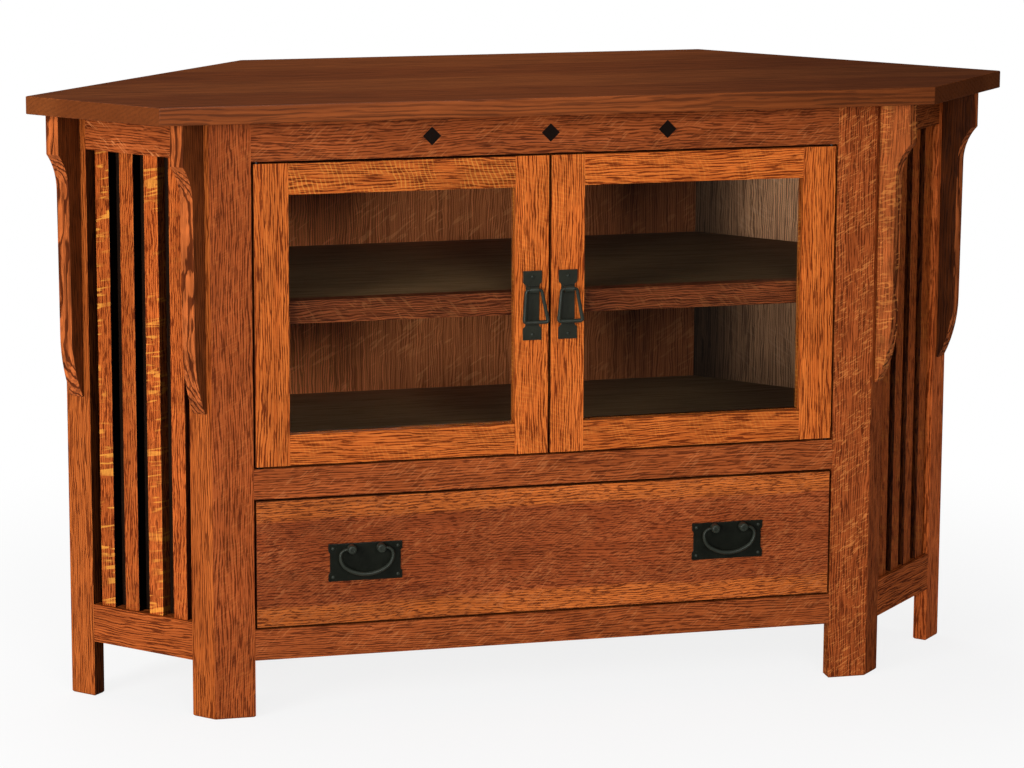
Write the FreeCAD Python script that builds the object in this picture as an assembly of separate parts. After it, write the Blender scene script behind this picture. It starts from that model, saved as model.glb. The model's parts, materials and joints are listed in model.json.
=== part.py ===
import FreeCAD, Part
import math
import os

# Corner cabinet with two glazed doors over one drawer, in the Mission manner, in millimetres.
# +Z is up, +X runs to the viewer's right along the front, and +Y runs back into the room's corner.
# The origin is on the floor, under the middle of the top's box.

# Top
height = 762.0
top_thickness = 22.0
top_front_length = 965.0
top_side_length = 202.0
top_wall_length = 442.0
top_round = 1.6
wall_angle = 45.0

# How far the body stands in from the top's edges
front_overhang = 33.0
side_overhang = 67.5
wall_overhang = 1.0

# Boards that the body is made of
board = 19.0
panel = 6.0
front_stile_width = 50.6
side_front_stile_width = 33.5
side_rear_stile_width = 36.2
foot_chamfer = 1.8
leg_width = 38.0
leg_depth = 30.0
tenon_length = 12.0
tenon_thickness = 7.0
tenon_shoulder = 7.0

# Heights of the front frame, from the floor up
foot_height = 72.0
bottom_rail_height = 38.7
drawer_opening = 163.9
middle_rail_height = 37.8
top_rail_height = 50.5

# Side frames
side_foot_height = 71.0
side_bottom_rail_height = 48.0
side_top_rail_height = 48.0
slat_count = 4
slat_gap = 15.5
slat_end_gap = 9.8
slat_recess = 4.7
slat_round = 0.8
slat_tenon_length = 8.0
slat_tenon_thickness = 6.0
slat_shoulder = 3.0
panel_lap = 12.0

# Corbels under the top
corbel_thickness = 19.0
corbel_depth = 42.0
corbel_block_height = 51.0
corbel_neck_depth = 23.5
corbel_cove_height = 46.5
corbel_shaft_depth = 22.0
corbel_toe_depth = 3.0
corbel_toe_height = 81.0
corbel_length = 357.0

# Square inlays set on point in the top rail
inlay_side = 16.1
inlay_pitch = 148.0
inlay_depth = 3.0

# Back and inner boards
rebate = 9.0
deck_thickness = 18.0
bottom_thickness = 12.0
cleat_height = 19.0
cleat_depth = 14.0
side_cleat_start = 64.0
side_cleat_end = 38.0
back_cleat_gap = 74.0
front_cleat_gap = 90.0

# Shelf
shelf_top_rise = 200.6
shelf_thickness = 19.0
shelf_setback = 30.0
shelf_gap = 1.5
nosing_height = 28.6
nosing_round = 1.2

# Doors
door_gap = 2.5
door_stile_width = 42.5
door_rail_height = 38.5
door_round = 0.8
glass_thickness = 3.0
glass_setback = 9.0
glass_rebate = 8.0
glass_play = 1.0
pivot_inset = 5.0
pivot_setback = 4.5
pivot_radius = 2.0
pivot_reach = 11.0
collar_radius = 4.0
running_clearance = 0.05
thrust_clearance = 0.3
catch_width = 40.0
catch_depth = 14.0
catch_grip = 17.0
catch_drop = 12.0
strike_thickness = 1.0
strike_width = 20.0
strike_height = 9.0
strike_margin = 1.5

# Door pulls
pull_plate_width = 23.5
pull_waist_width = 17.0
pull_plate_height = 86.3
pull_block_height = 14.3
pull_shoulder_height = 3.5
pull_plate_thickness = 2.5
pull_plate_rise = 189.0
pivot_drop = 22.6
knuckle_width = 11.6
knuckle_radius = 4.0
knuckle_standoff = 6.0
drop_wire = 1.85
drop_top_width = 22.0
drop_bottom_width = 33.0
drop_length = 38.0
drop_corner = 3.0
screw_radius = 2.3
screw_rise = 1.5

# Drawer
drawer_gap = 2.5
drawer_round = 1.0
drawer_side_thickness = 12.7
drawer_box_height = 120.0
drawer_box_lift = 12.0
drawer_rear_gap = 31.5
drawer_groove_rise = 10.0
drawer_groove_depth = 5.0
tongue_length = 7.0
tongue_root_share = 0.5
tongue_end_share = 0.74
tail_count = 4
tail_root_share = 0.54
tail_end_share = 0.74

# Full extension runners, one pair
runner_setback = 5.0
runner_end_gap = 13.0
runner_height = 45.0
runner_wall = 1.5
runner_space = 12.7
runner_clearance = 0.4
runner_lip = 7.0

# Drawer pulls
pull_pitch = 464.0
plate_width = 92.5
plate_height = 47.4
plate_thickness = 2.0
plate_notch = 2.0
plate_corner_height = 9.0
plate_shoulder = 3.0
plate_lift = 77.3
post_pitch = 36.7
post_rise = 18.1
post_radius = 5.5
post_stem_radius = 3.4
post_stem_length = 3.5
post_head_length = 9.5
post_head_round = 2.2
post_dimple_radius = 2.2
post_dimple_depth = 1.0
bail_wire = 2.0
bail_width = 66.0
bail_side_radius = 19.0
bail_side_turn = 55.0
bail_end_gap = 0.5
nail_radius = 2.2
nail_rise = 1.3
nail_inset = 5.6

# Cuts run past the faces that they start from by this much
overrun = 2.0

# Two values closer than this are taken as the same
tolerance = 0.01

# Plan of the top: a hexagon whose side edges stand square to the two walls of the room
lean = math.radians(wall_angle)
rearward = (math.sin(lean), math.cos(lean))
inward = (-math.cos(lean), math.sin(lean))
top_depth = top_side_length * rearward[1] + top_wall_length * inward[1]
front_y = -top_depth / 2
back_y = top_depth / 2
top_front_corner = (top_front_length / 2, front_y)
top_side_corner = (
    top_front_corner[0] + top_side_length * rearward[0],
    top_front_corner[1] + top_side_length * rearward[1],
)


def meet(start, way, other, other_way):
    """Point where two straight lines in plan cross, each given by a point and a direction."""
    spread = way[0] * other_way[1] - way[1] * other_way[0]
    apart = (other[0] - start[0], other[1] - start[1])
    reach = (apart[0] * other_way[1] - apart[1] * other_way[0]) / spread
    return (start[0] + way[0] * reach, start[1] + way[1] * reach)


def outline(front, side, wall, back):
    """Hexagon in plan, set in from the top's front, side, wall and back edges by these amounts."""
    across = (1.0, 0.0)
    side_point = (top_front_corner[0] + inward[0] * side, top_front_corner[1] + inward[1] * side)
    wall_point = (top_side_corner[0] - rearward[0] * wall, top_side_corner[1] - rearward[1] * wall)
    right = [
        meet((0.0, front_y + front), across, side_point, rearward),
        meet(side_point, rearward, wall_point, inward),
        meet((0.0, back_y - back), across, wall_point, inward),
    ]
    left = [(-x, y) for x, y in reversed(right)]
    return right + left


def body_outline(front=0.0, side=0.0, wall=0.0, back=0.0):
    """The same hexagon, set in from the outer faces of the body."""
    return outline(front_overhang + front, side_overhang + side, wall_overhang + wall, wall_overhang + back)


body = body_outline()
body_corner = body[0]
body_back_corner = body[2]
body_side_length = math.dist(body[0], body[1])
body_half_width = body_corner[0]
face_y = body_corner[1]
face_back_y = face_y + board
body_back_y = body_back_corner[1]
body_top = height - top_thickness
opening_half = body_half_width - front_stile_width
half_corner = math.radians((180.0 - wall_angle) / 2)
mitre_run = board / math.tan(half_corner)

bottom_rail_top = foot_height + bottom_rail_height
drawer_opening_top = bottom_rail_top + drawer_opening
floor_top = drawer_opening_top + middle_rail_height
deck_low = bottom_rail_top - bottom_thickness
door_opening_top = body_top - top_rail_height
deck_bottom = floor_top - deck_thickness
shelf_top = floor_top + shelf_top_rise
side_rail_top = side_foot_height + side_bottom_rail_height
side_opening_top = body_top - side_top_rail_height
panel_back = board + panel


def prism(points, low, high):
    """Upright solid on a closed outline in plan."""
    ring = [FreeCAD.Vector(x, y, low) for x, y in points]
    return Part.Face(Part.makePolygon(ring + ring[:1])).extrude(FreeCAD.Vector(0, 0, high - low))


def slab(points, near, far):
    """Solid on a closed outline in the X and Z plane, from one Y to another."""
    ring = [FreeCAD.Vector(x, near, z) for x, z in points]
    return Part.Face(Part.makePolygon(ring + ring[:1])).extrude(FreeCAD.Vector(0, far - near, 0))


def box(x, y, z):
    """Block between two values on each axis."""
    corner = FreeCAD.Vector(min(x), min(y), min(z))
    return Part.makeBox(abs(x[1] - x[0]), abs(y[1] - y[0]), abs(z[1] - z[0]), corner)


def rod(radius, start, way, length):
    return Part.makeCylinder(radius, length, FreeCAD.Vector(*start), FreeCAD.Vector(*way))


def mirrored(shape):
    """The same piece on the other side of the cabinet's middle plane."""
    return shape.mirror(FreeCAD.Vector(0, 0, 0), FreeCAD.Vector(1, 0, 0))


def both(shape):
    return [shape, mirrored(shape)]


def on_side(shape):
    """Puts a piece drawn along X, with +Y into the cabinet, on the right side's face."""
    placed = shape.copy()
    placed.rotate(FreeCAD.Vector(0, 0, 0), FreeCAD.Vector(0, 0, 1), 90.0 - wall_angle)
    placed.translate(FreeCAD.Vector(body_corner[0], body_corner[1], 0))
    return placed


def ends(edge):
    return [vertex.Point for vertex in edge.Vertexes]


def eased(shape, radius, chosen):
    """Rounds the edges whose two ends pass a test."""
    return shape.makeFillet(radius, [edge for edge in shape.Edges if all(chosen(p) for p in ends(edge))])


def near(value, target):
    return abs(value - target) < tolerance


def top_panel():
    """Hexagonal top with every arris rounded."""
    shape = prism(outline(0.0, 0.0, 0.0, 0.0), body_top, height)
    return shape.makeFillet(top_round, shape.Edges)


def tenons(along, across, up):
    """Two tenons that leave the ends of a rail, in the middle of its thickness."""
    middle = (across[0] + across[1]) / 2
    thick = (middle - tenon_thickness / 2, middle + tenon_thickness / 2)
    tall = (up[0] + tenon_shoulder, up[1] - tenon_shoulder)
    return [
        box((along[0] - tenon_length, along[0]), thick, tall),
        box((along[1], along[1] + tenon_length), thick, tall),
    ]


front_rail_spans = {
    "front_top_rail": (door_opening_top, body_top),
    "front_middle_rail": (drawer_opening_top, floor_top),
    "front_bottom_rail": (foot_height, bottom_rail_top),
}


def front_tenons(span):
    return tenons((-opening_half, opening_half), (face_y, face_back_y), span)


def front_rail(span):
    """Rail of the front frame, between the two front stiles, with a tenon at each end."""
    return box((-opening_half, opening_half), (face_y, face_back_y), span).multiFuse(front_tenons(span))


inlay_reach = inlay_side / math.sqrt(2)
inlay_height = (door_opening_top + body_top) / 2


def diamond_inlays():
    """Three squares set on point, let into the top rail and flush with its face."""
    inlays = []
    for step in (-1, 0, 1):
        x = step * inlay_pitch
        points = [
            (x - inlay_reach, inlay_height),
            (x, inlay_height - inlay_reach),
            (x + inlay_reach, inlay_height),
            (x, inlay_height + inlay_reach),
        ]
        inlays.append(slab(points, face_y, face_y + inlay_depth))
    return inlays


def drilled(shape, pins, clearance):
    """Cuts the hole for each round pin, given by its start, direction and length."""
    for start, way, length in pins:
        shape = shape.cut(rod(pivot_radius + clearance, start, way, length))
    return shape


def foot_eased(shape, skip):
    """Bevels the foot of a stile or leg all round, but not along its mitre."""
    edges = []
    for edge in shape.Edges:
        points = ends(edge)
        if all(near(p.z, 0.0) for p in points) and not all(skip(p) for p in points):
            edges.append(edge)
    return shape.makeChamfer(foot_chamfer, edges)


def front_stile():
    """Right stile of the front frame, mitred where it meets the side frame."""
    points = [
        (opening_half, face_y),
        body_corner,
        (body_half_width - mitre_run, face_back_y),
        (opening_half, face_back_y),
    ]
    shape = prism(points, 0.0, body_top)
    shape = foot_eased(shape, lambda p: p.x > body_half_width - mitre_run - tolerance)
    for span in front_rail_spans.values():
        shape = shape.cut(front_tenons(span)[1])
    return shape


side_clear = (side_front_stile_width, body_side_length - side_rear_stile_width)
side_rail_spans = {
    "side_top_rails": (side_opening_top, body_top),
    "side_bottom_rails": (side_foot_height, side_rail_top),
}


def side_tenons(span):
    return tenons(side_clear, (0.0, board), span)


def side_front_stile():
    """Front stile of the right side frame, mitred to the front stile."""
    points = [(0.0, 0.0), (side_front_stile_width, 0.0), (side_front_stile_width, board), (mitre_run, board)]
    shape = prism(points, 0.0, body_top)
    shape = foot_eased(shape, lambda p: p.x < mitre_run + tolerance)
    for span in side_rail_spans.values():
        shape = shape.cut(side_tenons(span)[0])
    return on_side(shape)


def side_rear_stile():
    """Rear stile of the right side frame, rebated for the wall panel."""
    shape = box((side_clear[1], body_side_length), (0.0, board), (0.0, body_top))
    shape = foot_eased(shape, lambda p: False)
    for span in side_rail_spans.values():
        shape = shape.cut(side_tenons(span)[1])
    return on_side(shape).cut(back_side_panel())


slat_room = side_clear[1] - side_clear[0] - 2 * slat_end_gap
slat_width = (slat_room - (slat_count - 1) * slat_gap) / slat_count


def slat_places():
    """Start of each slat along the side."""
    first = side_clear[0] + slat_end_gap
    return [first + step * (slat_width + slat_gap) for step in range(slat_count)]


def slat(start):
    """One upright slat with a short tenon at each end."""
    face = box((start, start + slat_width), (slat_recess, board), (side_rail_top, side_opening_top))
    arrises = [edge for edge in face.Edges if near(edge.CenterOfMass.y, slat_recess)]
    sides = [edge for edge in arrises if not near(edge.CenterOfMass.x, start + slat_width / 2)]
    face = face.makeFillet(slat_round, sides)
    middle = (slat_recess + board) / 2
    tongue = box(
        (start + slat_shoulder, start + slat_width - slat_shoulder),
        (middle - slat_tenon_thickness / 2, middle + slat_tenon_thickness / 2),
        (side_rail_top - slat_tenon_length, side_opening_top + slat_tenon_length),
    )
    return face.fuse(tongue)


def side_slats():
    return [on_side(slat(start)) for start in slat_places()]


def side_rail(name):
    """Rail of the right side frame, mortised for the slats."""
    span = side_rail_spans[name]
    shape = box(side_clear, (0.0, board), span).multiFuse(side_tenons(span))
    for start in slat_places():
        shape = shape.cut(slat(start))
    return on_side(shape)


def side_panel():
    """Plywood panel behind the right side's slats, lapped on to the back of its frame."""
    along = (side_clear[0] - panel_lap, side_clear[1] + panel_lap)
    return on_side(box(along, (board, panel_back), (side_foot_height, body_top)))


def corbel(middle):
    """Long bracket under the top: square head, cove, straight shaft and a curved toe."""
    head = body_top - corbel_block_height
    neck = head - corbel_cove_height
    foot = body_top - corbel_length
    bend = foot + corbel_toe_height
    step = corbel_depth - corbel_neck_depth
    cove_radius = (step ** 2 + corbel_cove_height ** 2) / (2 * step)
    cove_turn = math.asin(corbel_cove_height / cove_radius) / 2
    fall = corbel_shaft_depth - corbel_toe_depth
    toe_radius = (fall ** 2 + corbel_toe_height ** 2) / (2 * fall)
    toe_turn = math.asin(corbel_toe_height / toe_radius) / 2
    cove_middle = (
        corbel_neck_depth + cove_radius * (1 - math.cos(cove_turn)),
        neck + cove_radius * math.sin(cove_turn),
    )
    toe_middle = (
        corbel_shaft_depth - toe_radius * (1 - math.cos(toe_turn)),
        bend - toe_radius * math.sin(toe_turn),
    )
    near_side = middle - corbel_thickness / 2

    def spot(depth, z):
        return FreeCAD.Vector(near_side, -depth, z)

    def line(start, end):
        return Part.LineSegment(spot(*start), spot(*end)).toShape()

    def bow(start, through, end):
        return Part.Arc(spot(*start), spot(*through), spot(*end)).toShape()

    edges = [
        line((0.0, body_top), (corbel_depth, body_top)),
        line((corbel_depth, body_top), (corbel_depth, head)),
        bow((corbel_depth, head), cove_middle, (corbel_neck_depth, neck)),
        line((corbel_neck_depth, neck), (corbel_shaft_depth, bend)),
        bow((corbel_shaft_depth, bend), toe_middle, (corbel_toe_depth, foot)),
        line((corbel_toe_depth, foot), (0.0, foot)),
        line((0.0, foot), (0.0, body_top)),
    ]
    face = Part.Face(Part.Wire(edges))
    return on_side(face.extrude(FreeCAD.Vector(corbel_thickness, 0, 0)))


def wall_face(inset):
    """Point and direction of the plane in plan that lies this far inside the right wall face."""
    point = (body[1][0] - rearward[0] * inset, body[1][1] - rearward[1] * inset)
    return point, inward


def leg_outline(width, depth):
    """Five-sided section at the right back corner, with faces on the back and on the wall side."""
    x, y = body_back_corner
    wall_end = (x - inward[0] * width, y - inward[1] * width)
    wall_inner = (wall_end[0] - rearward[0] * depth, wall_end[1] - rearward[1] * depth)
    return [(x, y), (x - width, y), (x - width, y - depth), wall_inner, wall_end]


def back_inner_corner():
    """Where the inner faces of the right wall panel and the centre panel meet."""
    plane, way = wall_face(panel)
    return meet((0.0, body_back_y - panel), (1.0, 0.0), plane, way)


def back_side_panel():
    """Plywood panel on the right wall side. It is let into the rear stile and, up to the compartment's
    floor, into the back leg. Over the leg it is mitred to the centre panel."""
    start, way = wall_face(0.0)
    reach = math.dist(body[1], body_back_corner) - (leg_width - rebate)
    first = board - rebate

    def spot(run, deep):
        return (start[0] + way[0] * run - rearward[0] * deep, start[1] + way[1] * run - rearward[1] * deep)

    low = [spot(first, 0.0), spot(reach, 0.0), spot(reach, panel), spot(first, panel)]
    high = [spot(first, 0.0), body_back_corner, back_inner_corner(), spot(first, panel)]
    return prism(low, deck_low, deck_bottom).fuse(prism(high, deck_bottom, body_top)).removeSplitter()


def back_centre_panel():
    """Plywood panel across the clipped corner, wider over the legs, where it is mitred to the wall panels."""
    half = body_back_corner[0] - (leg_width - rebate)
    low = box((-half, half), (body_back_y - panel, body_back_y), (deck_low, deck_bottom))
    x, y = body_back_corner
    inner_x, inner_y = back_inner_corner()
    high = prism([(-x, y), (x, y), (inner_x, inner_y), (-inner_x, inner_y)], deck_bottom, body_top)
    return low.fuse(high).removeSplitter()


def back_leg():
    """Right back leg. It carries the compartment's floor and is rebated for the two panels on it."""
    shape = foot_eased(prism(leg_outline(leg_width, leg_depth), 0.0, deck_bottom), lambda p: False)
    return shape.cut(back_side_panel()).cut(back_centre_panel())


def deck(low, high):
    """Board that fills the body's plan inside the frames and panels."""
    return prism(body_outline(front=board, side=panel_back, wall=panel, back=panel), low, high)


def cabinet_bottom():
    """Lowest board, notched round the back legs."""
    leg = prism(leg_outline(leg_width, leg_depth), deck_low - overrun, bottom_rail_top + overrun)
    return deck(deck_low, bottom_rail_top).cut(leg).cut(mirrored(leg))


def shelf_outline(front):
    return body_outline(front, panel_back + shelf_gap, panel + shelf_gap, panel + shelf_gap)


def shelf():
    """Shelf board behind its nosing, with a small gap all round."""
    return prism(shelf_outline(shelf_setback + board), shelf_top - shelf_thickness, shelf_top)


def shelf_nosing():
    """Solid strip on the shelf's front edge, deeper than the board."""
    whole = prism(shelf_outline(shelf_setback), shelf_top - nosing_height, shelf_top)
    y = face_y + shelf_setback
    strip = box((-body_half_width, body_half_width), (y, y + board), (shelf_top - nosing_height, shelf_top))
    return eased(whole.common(strip), nosing_round, lambda p: near(p.y, y) and abs(p.x) < body_half_width)


def side_cleat(top):
    along = (side_cleat_start, body_side_length - side_cleat_end)
    return on_side(box(along, (panel_back, panel_back + cleat_depth), (top - cleat_height, top)))


def back_cleat(top):
    y = body_back_y - panel
    x = body_back_corner[0] - leg_width - back_cleat_gap
    return box((-x, x), (y - cleat_depth, y), (top - cleat_height, top))


def shelf_cleats():
    """Battens that carry the shelf at both sides and the back."""
    top = shelf_top - shelf_thickness
    return both(side_cleat(top)) + [back_cleat(top)]


def top_cleats():
    """Battens that the top is screwed to."""
    x = opening_half - front_cleat_gap
    front = box((-x, x), (face_back_y, face_back_y + cleat_depth), (body_top - cleat_height, body_top))
    return both(side_cleat(body_top)) + [back_cleat(body_top), front]


def drawer_partition():
    """Right wall of the drawer's space, from the front stile back to the wall panel and leg."""
    plane, way = wall_face(panel)
    across = (0.0, 1.0)
    rear = [meet((x, 0.0), across, plane, way) for x in (opening_half + board, opening_half)]
    points = [(opening_half, face_back_y), (opening_half + board, face_back_y)] + rear
    leg = prism(leg_outline(leg_width, leg_depth), 0.0, deck_bottom)
    return prism(points, bottom_rail_top, deck_bottom).cut(leg)


# Doors, drawn for the right one, whose pivots are at its right edge
door_inner = door_gap / 2
door_outer = opening_half - door_gap
door_low = floor_top + door_gap
door_high = door_opening_top - door_gap
hinge_stile_inner = door_outer - door_stile_width
meeting_stile_outer = door_inner + door_stile_width
glass_low = door_low + door_rail_height
glass_high = door_high - door_rail_height
pivot_x = door_outer - pivot_inset
pivot_y = face_y + pivot_setback
door_rail_spans = ((door_low, glass_low), (glass_high, door_high))


def pivot_pins():
    """The two pins of the right door, each a start, a direction and a length."""
    length = 2 * pivot_reach + door_gap
    low = (pivot_x, pivot_y, floor_top - pivot_reach)
    high = (pivot_x, pivot_y, door_opening_top - door_gap - pivot_reach)
    return [(low, (0, 0, 1), length), (high, (0, 0, 1), length)]


def hinge_pins():
    """Steel pivot pins in the rails, each with a collar that keeps the door off the rail."""
    pins = []
    for start, way, length in pivot_pins():
        pin = rod(pivot_radius, start, way, length)
        pins.append(pin)
    low = (pivot_x, pivot_y, floor_top)
    high = (pivot_x, pivot_y, door_high + thrust_clearance)
    collars = [rod(collar_radius, at, (0, 0, 1), door_gap - thrust_clearance) for at in (low, high)]
    joined = [pin.fuse(collar) for pin, collar in zip(pins, collars)]
    return joined + [mirrored(shape) for shape in joined]


def all_pivot_pins():
    right = pivot_pins()
    left = [((-start[0], start[1], start[2]), way, length) for start, way, length in right]
    return right + left


def glass_room():
    """The rebate that the glass and its stops fill, from behind."""
    x = (meeting_stile_outer - glass_rebate, hinge_stile_inner + glass_rebate)
    z = (glass_low - glass_rebate, glass_high + glass_rebate)
    return box(x, (face_y + glass_setback, face_back_y + overrun), z)


def door_tenons(span):
    """Stub tenons of a door rail, in front of the glass rebate."""
    y = (face_y + glass_setback - tenon_thickness, face_y + glass_setback)
    z = (span[0] + tenon_shoulder, span[1] - tenon_shoulder)
    return [
        box((meeting_stile_outer - tenon_length, meeting_stile_outer), y, z),
        box((hinge_stile_inner, hinge_stile_inner + tenon_length), y, z),
    ]


def door_stile(x, outer):
    shape = box(x, (face_y, face_back_y), (door_low, door_high))
    shape = eased(shape, door_round, lambda p: near(p.x, outer) and near(p.y, face_y))
    for span in door_rail_spans:
        for tenon in door_tenons(span):
            shape = shape.cut(tenon)
    return shape.cut(glass_room())


def door_hinge_stile():
    return drilled(door_stile((hinge_stile_inner, door_outer), door_outer), pivot_pins(), running_clearance)


def door_meeting_stile():
    return door_stile((door_inner, meeting_stile_outer), door_inner)


def door_rails():
    rails = []
    for span, edge in zip(door_rail_spans, (door_low, door_high)):
        shape = box((meeting_stile_outer, hinge_stile_inner), (face_y, face_back_y), span)

        def on_edge(p, z=edge):
            return near(p.z, z) and near(p.y, face_y)

        shape = eased(shape, door_round, on_edge)
        rails.append(shape.multiFuse(door_tenons(span)).cut(glass_room()))
    return rails


def door_glass():
    reach = glass_rebate - glass_play
    x = (meeting_stile_outer - reach, hinge_stile_inner + reach)
    y = face_y + glass_setback
    return box(x, (y, y + glass_thickness), (glass_low - reach, glass_high + reach))


def door_glass_stops():
    """Four strips that hold the glass in its rebate."""
    y = (face_y + glass_setback + glass_thickness, face_back_y)
    x = (meeting_stile_outer - glass_rebate, hinge_stile_inner + glass_rebate)
    z = (glass_low - glass_rebate, glass_high + glass_rebate)
    return [
        box(x, y, (z[0], glass_low)),
        box(x, y, (glass_high, z[1])),
        box((x[0], meeting_stile_outer), y, (glass_low, glass_high)),
        box((hinge_stile_inner, x[1]), y, (glass_low, glass_high)),
    ]


catch_middle = door_inner + door_stile_width / 2


def door_catch():
    """Magnetic catch on the back of the top rail, which also stops the right door."""
    lip = face_back_y + strike_thickness + thrust_clearance
    far = face_back_y + catch_depth
    low = door_opening_top - catch_drop
    high = door_opening_top + catch_grip
    across = (catch_middle - catch_width / 2, catch_middle + catch_width / 2)
    case = box(across, (face_back_y, far), (low, high))
    room = box(
        (catch_middle - catch_width, catch_middle + catch_width),
        (face_back_y - overrun, lip),
        (low - overrun, door_opening_top),
    )
    return case.cut(room)


def door_strike():
    """Steel plate on the back of the meeting stile, facing the catch."""
    x = (catch_middle - strike_width / 2, catch_middle + strike_width / 2)
    z = (door_high - strike_margin - strike_height, door_high - strike_margin)
    return box(x, (face_back_y, face_back_y + strike_thickness), z)


# Door pull, drawn on the right door's meeting stile
pull_low = floor_top + pull_plate_rise - pull_plate_height / 2
pull_high = pull_low + pull_plate_height
pull_face = face_y - pull_plate_thickness
drop_z = pull_high - pivot_drop
drop_y = pull_face - knuckle_standoff


def door_pull_plate():
    """Iron plate with a broad head and foot, a narrow waist, and a knuckle for the drop."""
    half = pull_plate_width / 2
    waist = pull_waist_width / 2
    heights = (
        pull_low,
        pull_low + pull_block_height,
        pull_low + pull_block_height + pull_shoulder_height,
        pull_high - pull_block_height - pull_shoulder_height,
        pull_high - pull_block_height,
        pull_high,
    )
    widths = (half, half, waist, waist, half, half)
    right = [(catch_middle + wide, z) for wide, z in zip(widths, heights)]
    left = [(catch_middle - wide, z) for wide, z in zip(reversed(widths), reversed(heights))]
    plate = slab(right + left, pull_face, face_y)
    start = (catch_middle - knuckle_width / 2, drop_y, drop_z)
    knuckle = rod(knuckle_radius, start, (1, 0, 0), knuckle_width)
    web = box(
        (catch_middle - knuckle_width / 2, catch_middle + knuckle_width / 2),
        (drop_y, pull_face),
        (drop_z - knuckle_radius, drop_z + knuckle_radius),
    )
    bore_start = (catch_middle - knuckle_width, drop_y, drop_z)
    bore = rod(drop_wire + running_clearance, bore_start, (1, 0, 0), 2 * knuckle_width)
    return plate.multiFuse([knuckle, web]).cut(bore)


def dome(x, z, base_y, radius, rise):
    """Low rounded head that stands out of a front face, turned from its half profile."""
    ball = (radius ** 2 + rise ** 2) / (2 * rise)
    half_turn = math.asin(radius / ball) / 2
    flank_y = base_y - rise + ball * (1 - math.cos(half_turn))
    base = FreeCAD.Vector(x, base_y, z)
    rim = FreeCAD.Vector(x + radius, base_y, z)
    flank = FreeCAD.Vector(x + ball * math.sin(half_turn), flank_y, z)
    crown = FreeCAD.Vector(x, base_y - rise, z)
    profile = [
        Part.LineSegment(base, rim).toShape(),
        Part.Arc(rim, flank, crown).toShape(),
        Part.LineSegment(crown, base).toShape(),
    ]
    return Part.Face(Part.Wire(profile)).revolve(base, FreeCAD.Vector(0, 1, 0), 360.0)


def door_pull_screws():
    heights = (pull_low + pull_block_height / 2, pull_high - pull_block_height / 2)
    return [dome(catch_middle, z, pull_face, screw_radius, screw_rise) for z in heights]


def swept(edges, radius):
    """Round bar along a path of lines and arcs that run into each other."""
    path = Part.Wire(edges)
    first = edges[0]
    start = first.valueAt(first.FirstParameter)
    way = first.tangentAt(first.FirstParameter)
    ring = Part.Wire(Part.Circle(start, way, radius).toShape())
    return path.makePipeShell([ring], True, True)


def corner_arc(before, corner, after, radius):
    """Arc that rounds a corner of a path in the X and Z plane, with its two ends."""
    one = (before - corner).normalize()
    two = (after - corner).normalize()
    half = one.getAngle(two) / 2
    run = radius / math.tan(half)
    centre = corner + (one + two).normalize() * (radius / math.sin(half))
    start = corner + one * run
    end = corner + two * run
    middle = centre + (corner - centre).normalize() * radius
    return start, Part.Arc(start, middle, end).toShape(), end


def door_pull_drop():
    """Closed drop of round bar, narrow at the knuckle and broad at the bottom."""
    top_half = drop_top_width / 2 - drop_wire
    low_half = drop_bottom_width / 2 - drop_wire
    low_z = drop_z - drop_length
    top_middle = FreeCAD.Vector(catch_middle, drop_y, drop_z)
    top_corner = FreeCAD.Vector(catch_middle + top_half, drop_y, drop_z)
    low_corner = FreeCAD.Vector(catch_middle + low_half, drop_y, low_z)
    low_middle = FreeCAD.Vector(catch_middle, drop_y, low_z)
    first, top_bend, second = corner_arc(top_middle, top_corner, low_corner, drop_corner)
    third, low_bend, fourth = corner_arc(top_corner, low_corner, low_middle, drop_corner)
    edges = [
        Part.LineSegment(top_middle, first).toShape(),
        top_bend,
        Part.LineSegment(second, third).toShape(),
        low_bend,
        Part.LineSegment(fourth, low_middle).toShape(),
    ]
    half = swept(edges, drop_wire)
    other = half.mirror(top_middle, FreeCAD.Vector(1, 0, 0))
    return half.fuse(other).removeSplitter()


# Drawer
drawer_half = opening_half - drawer_gap
drawer_low = bottom_rail_top + drawer_gap
drawer_high = drawer_opening_top - drawer_gap
box_half = opening_half - runner_space
box_low = bottom_rail_top + drawer_box_lift
box_high = box_low + drawer_box_height
box_back_y = meet((box_half, 0.0), (0.0, 1.0), *wall_face(panel))[1] - drawer_rear_gap
groove_low = box_low + drawer_groove_rise
groove_high = groove_low + panel


def drawer_front():
    """Solid front board, flush with the frame, slotted for the sides and grooved for the bottom."""
    shape = box((-drawer_half, drawer_half), (face_y, face_back_y), (drawer_low, drawer_high))
    shape = eased(shape, drawer_round, lambda p: near(p.y, face_y))
    for slot in both(sliding_dovetail(drawer_low - overrun, box_high)):
        shape = shape.cut(slot)
    return shape.cut(drawer_bottom())


def sliding_dovetail(low, high):
    """Tongue on the front end of a drawer side, wider at its end than at its root."""
    middle = box_half - drawer_side_thickness / 2
    root = drawer_side_thickness * tongue_root_share / 2
    tip = drawer_side_thickness * tongue_end_share / 2
    points = [
        (middle - root, face_back_y),
        (middle - tip, face_back_y - tongue_length),
        (middle + tip, face_back_y - tongue_length),
        (middle + root, face_back_y),
    ]
    return prism(points, low, high)


def drawer_tail(low, high):
    """One dovetail at the rear end of a drawer side, wider at its end than at its root."""
    middle = (low + high) / 2
    root = (high - low) * tail_root_share / 2
    tip = (high - low) * tail_end_share / 2
    shoulder = box_back_y - drawer_side_thickness
    ring = [
        FreeCAD.Vector(box_half - drawer_side_thickness, y, z)
        for y, z in (
            (shoulder, middle - root),
            (box_back_y, middle - tip),
            (box_back_y, middle + tip),
            (shoulder, middle + root),
        )
    ]
    face = Part.Face(Part.makePolygon(ring + ring[:1]))
    return face.extrude(FreeCAD.Vector(drawer_side_thickness, 0, 0))


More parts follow.
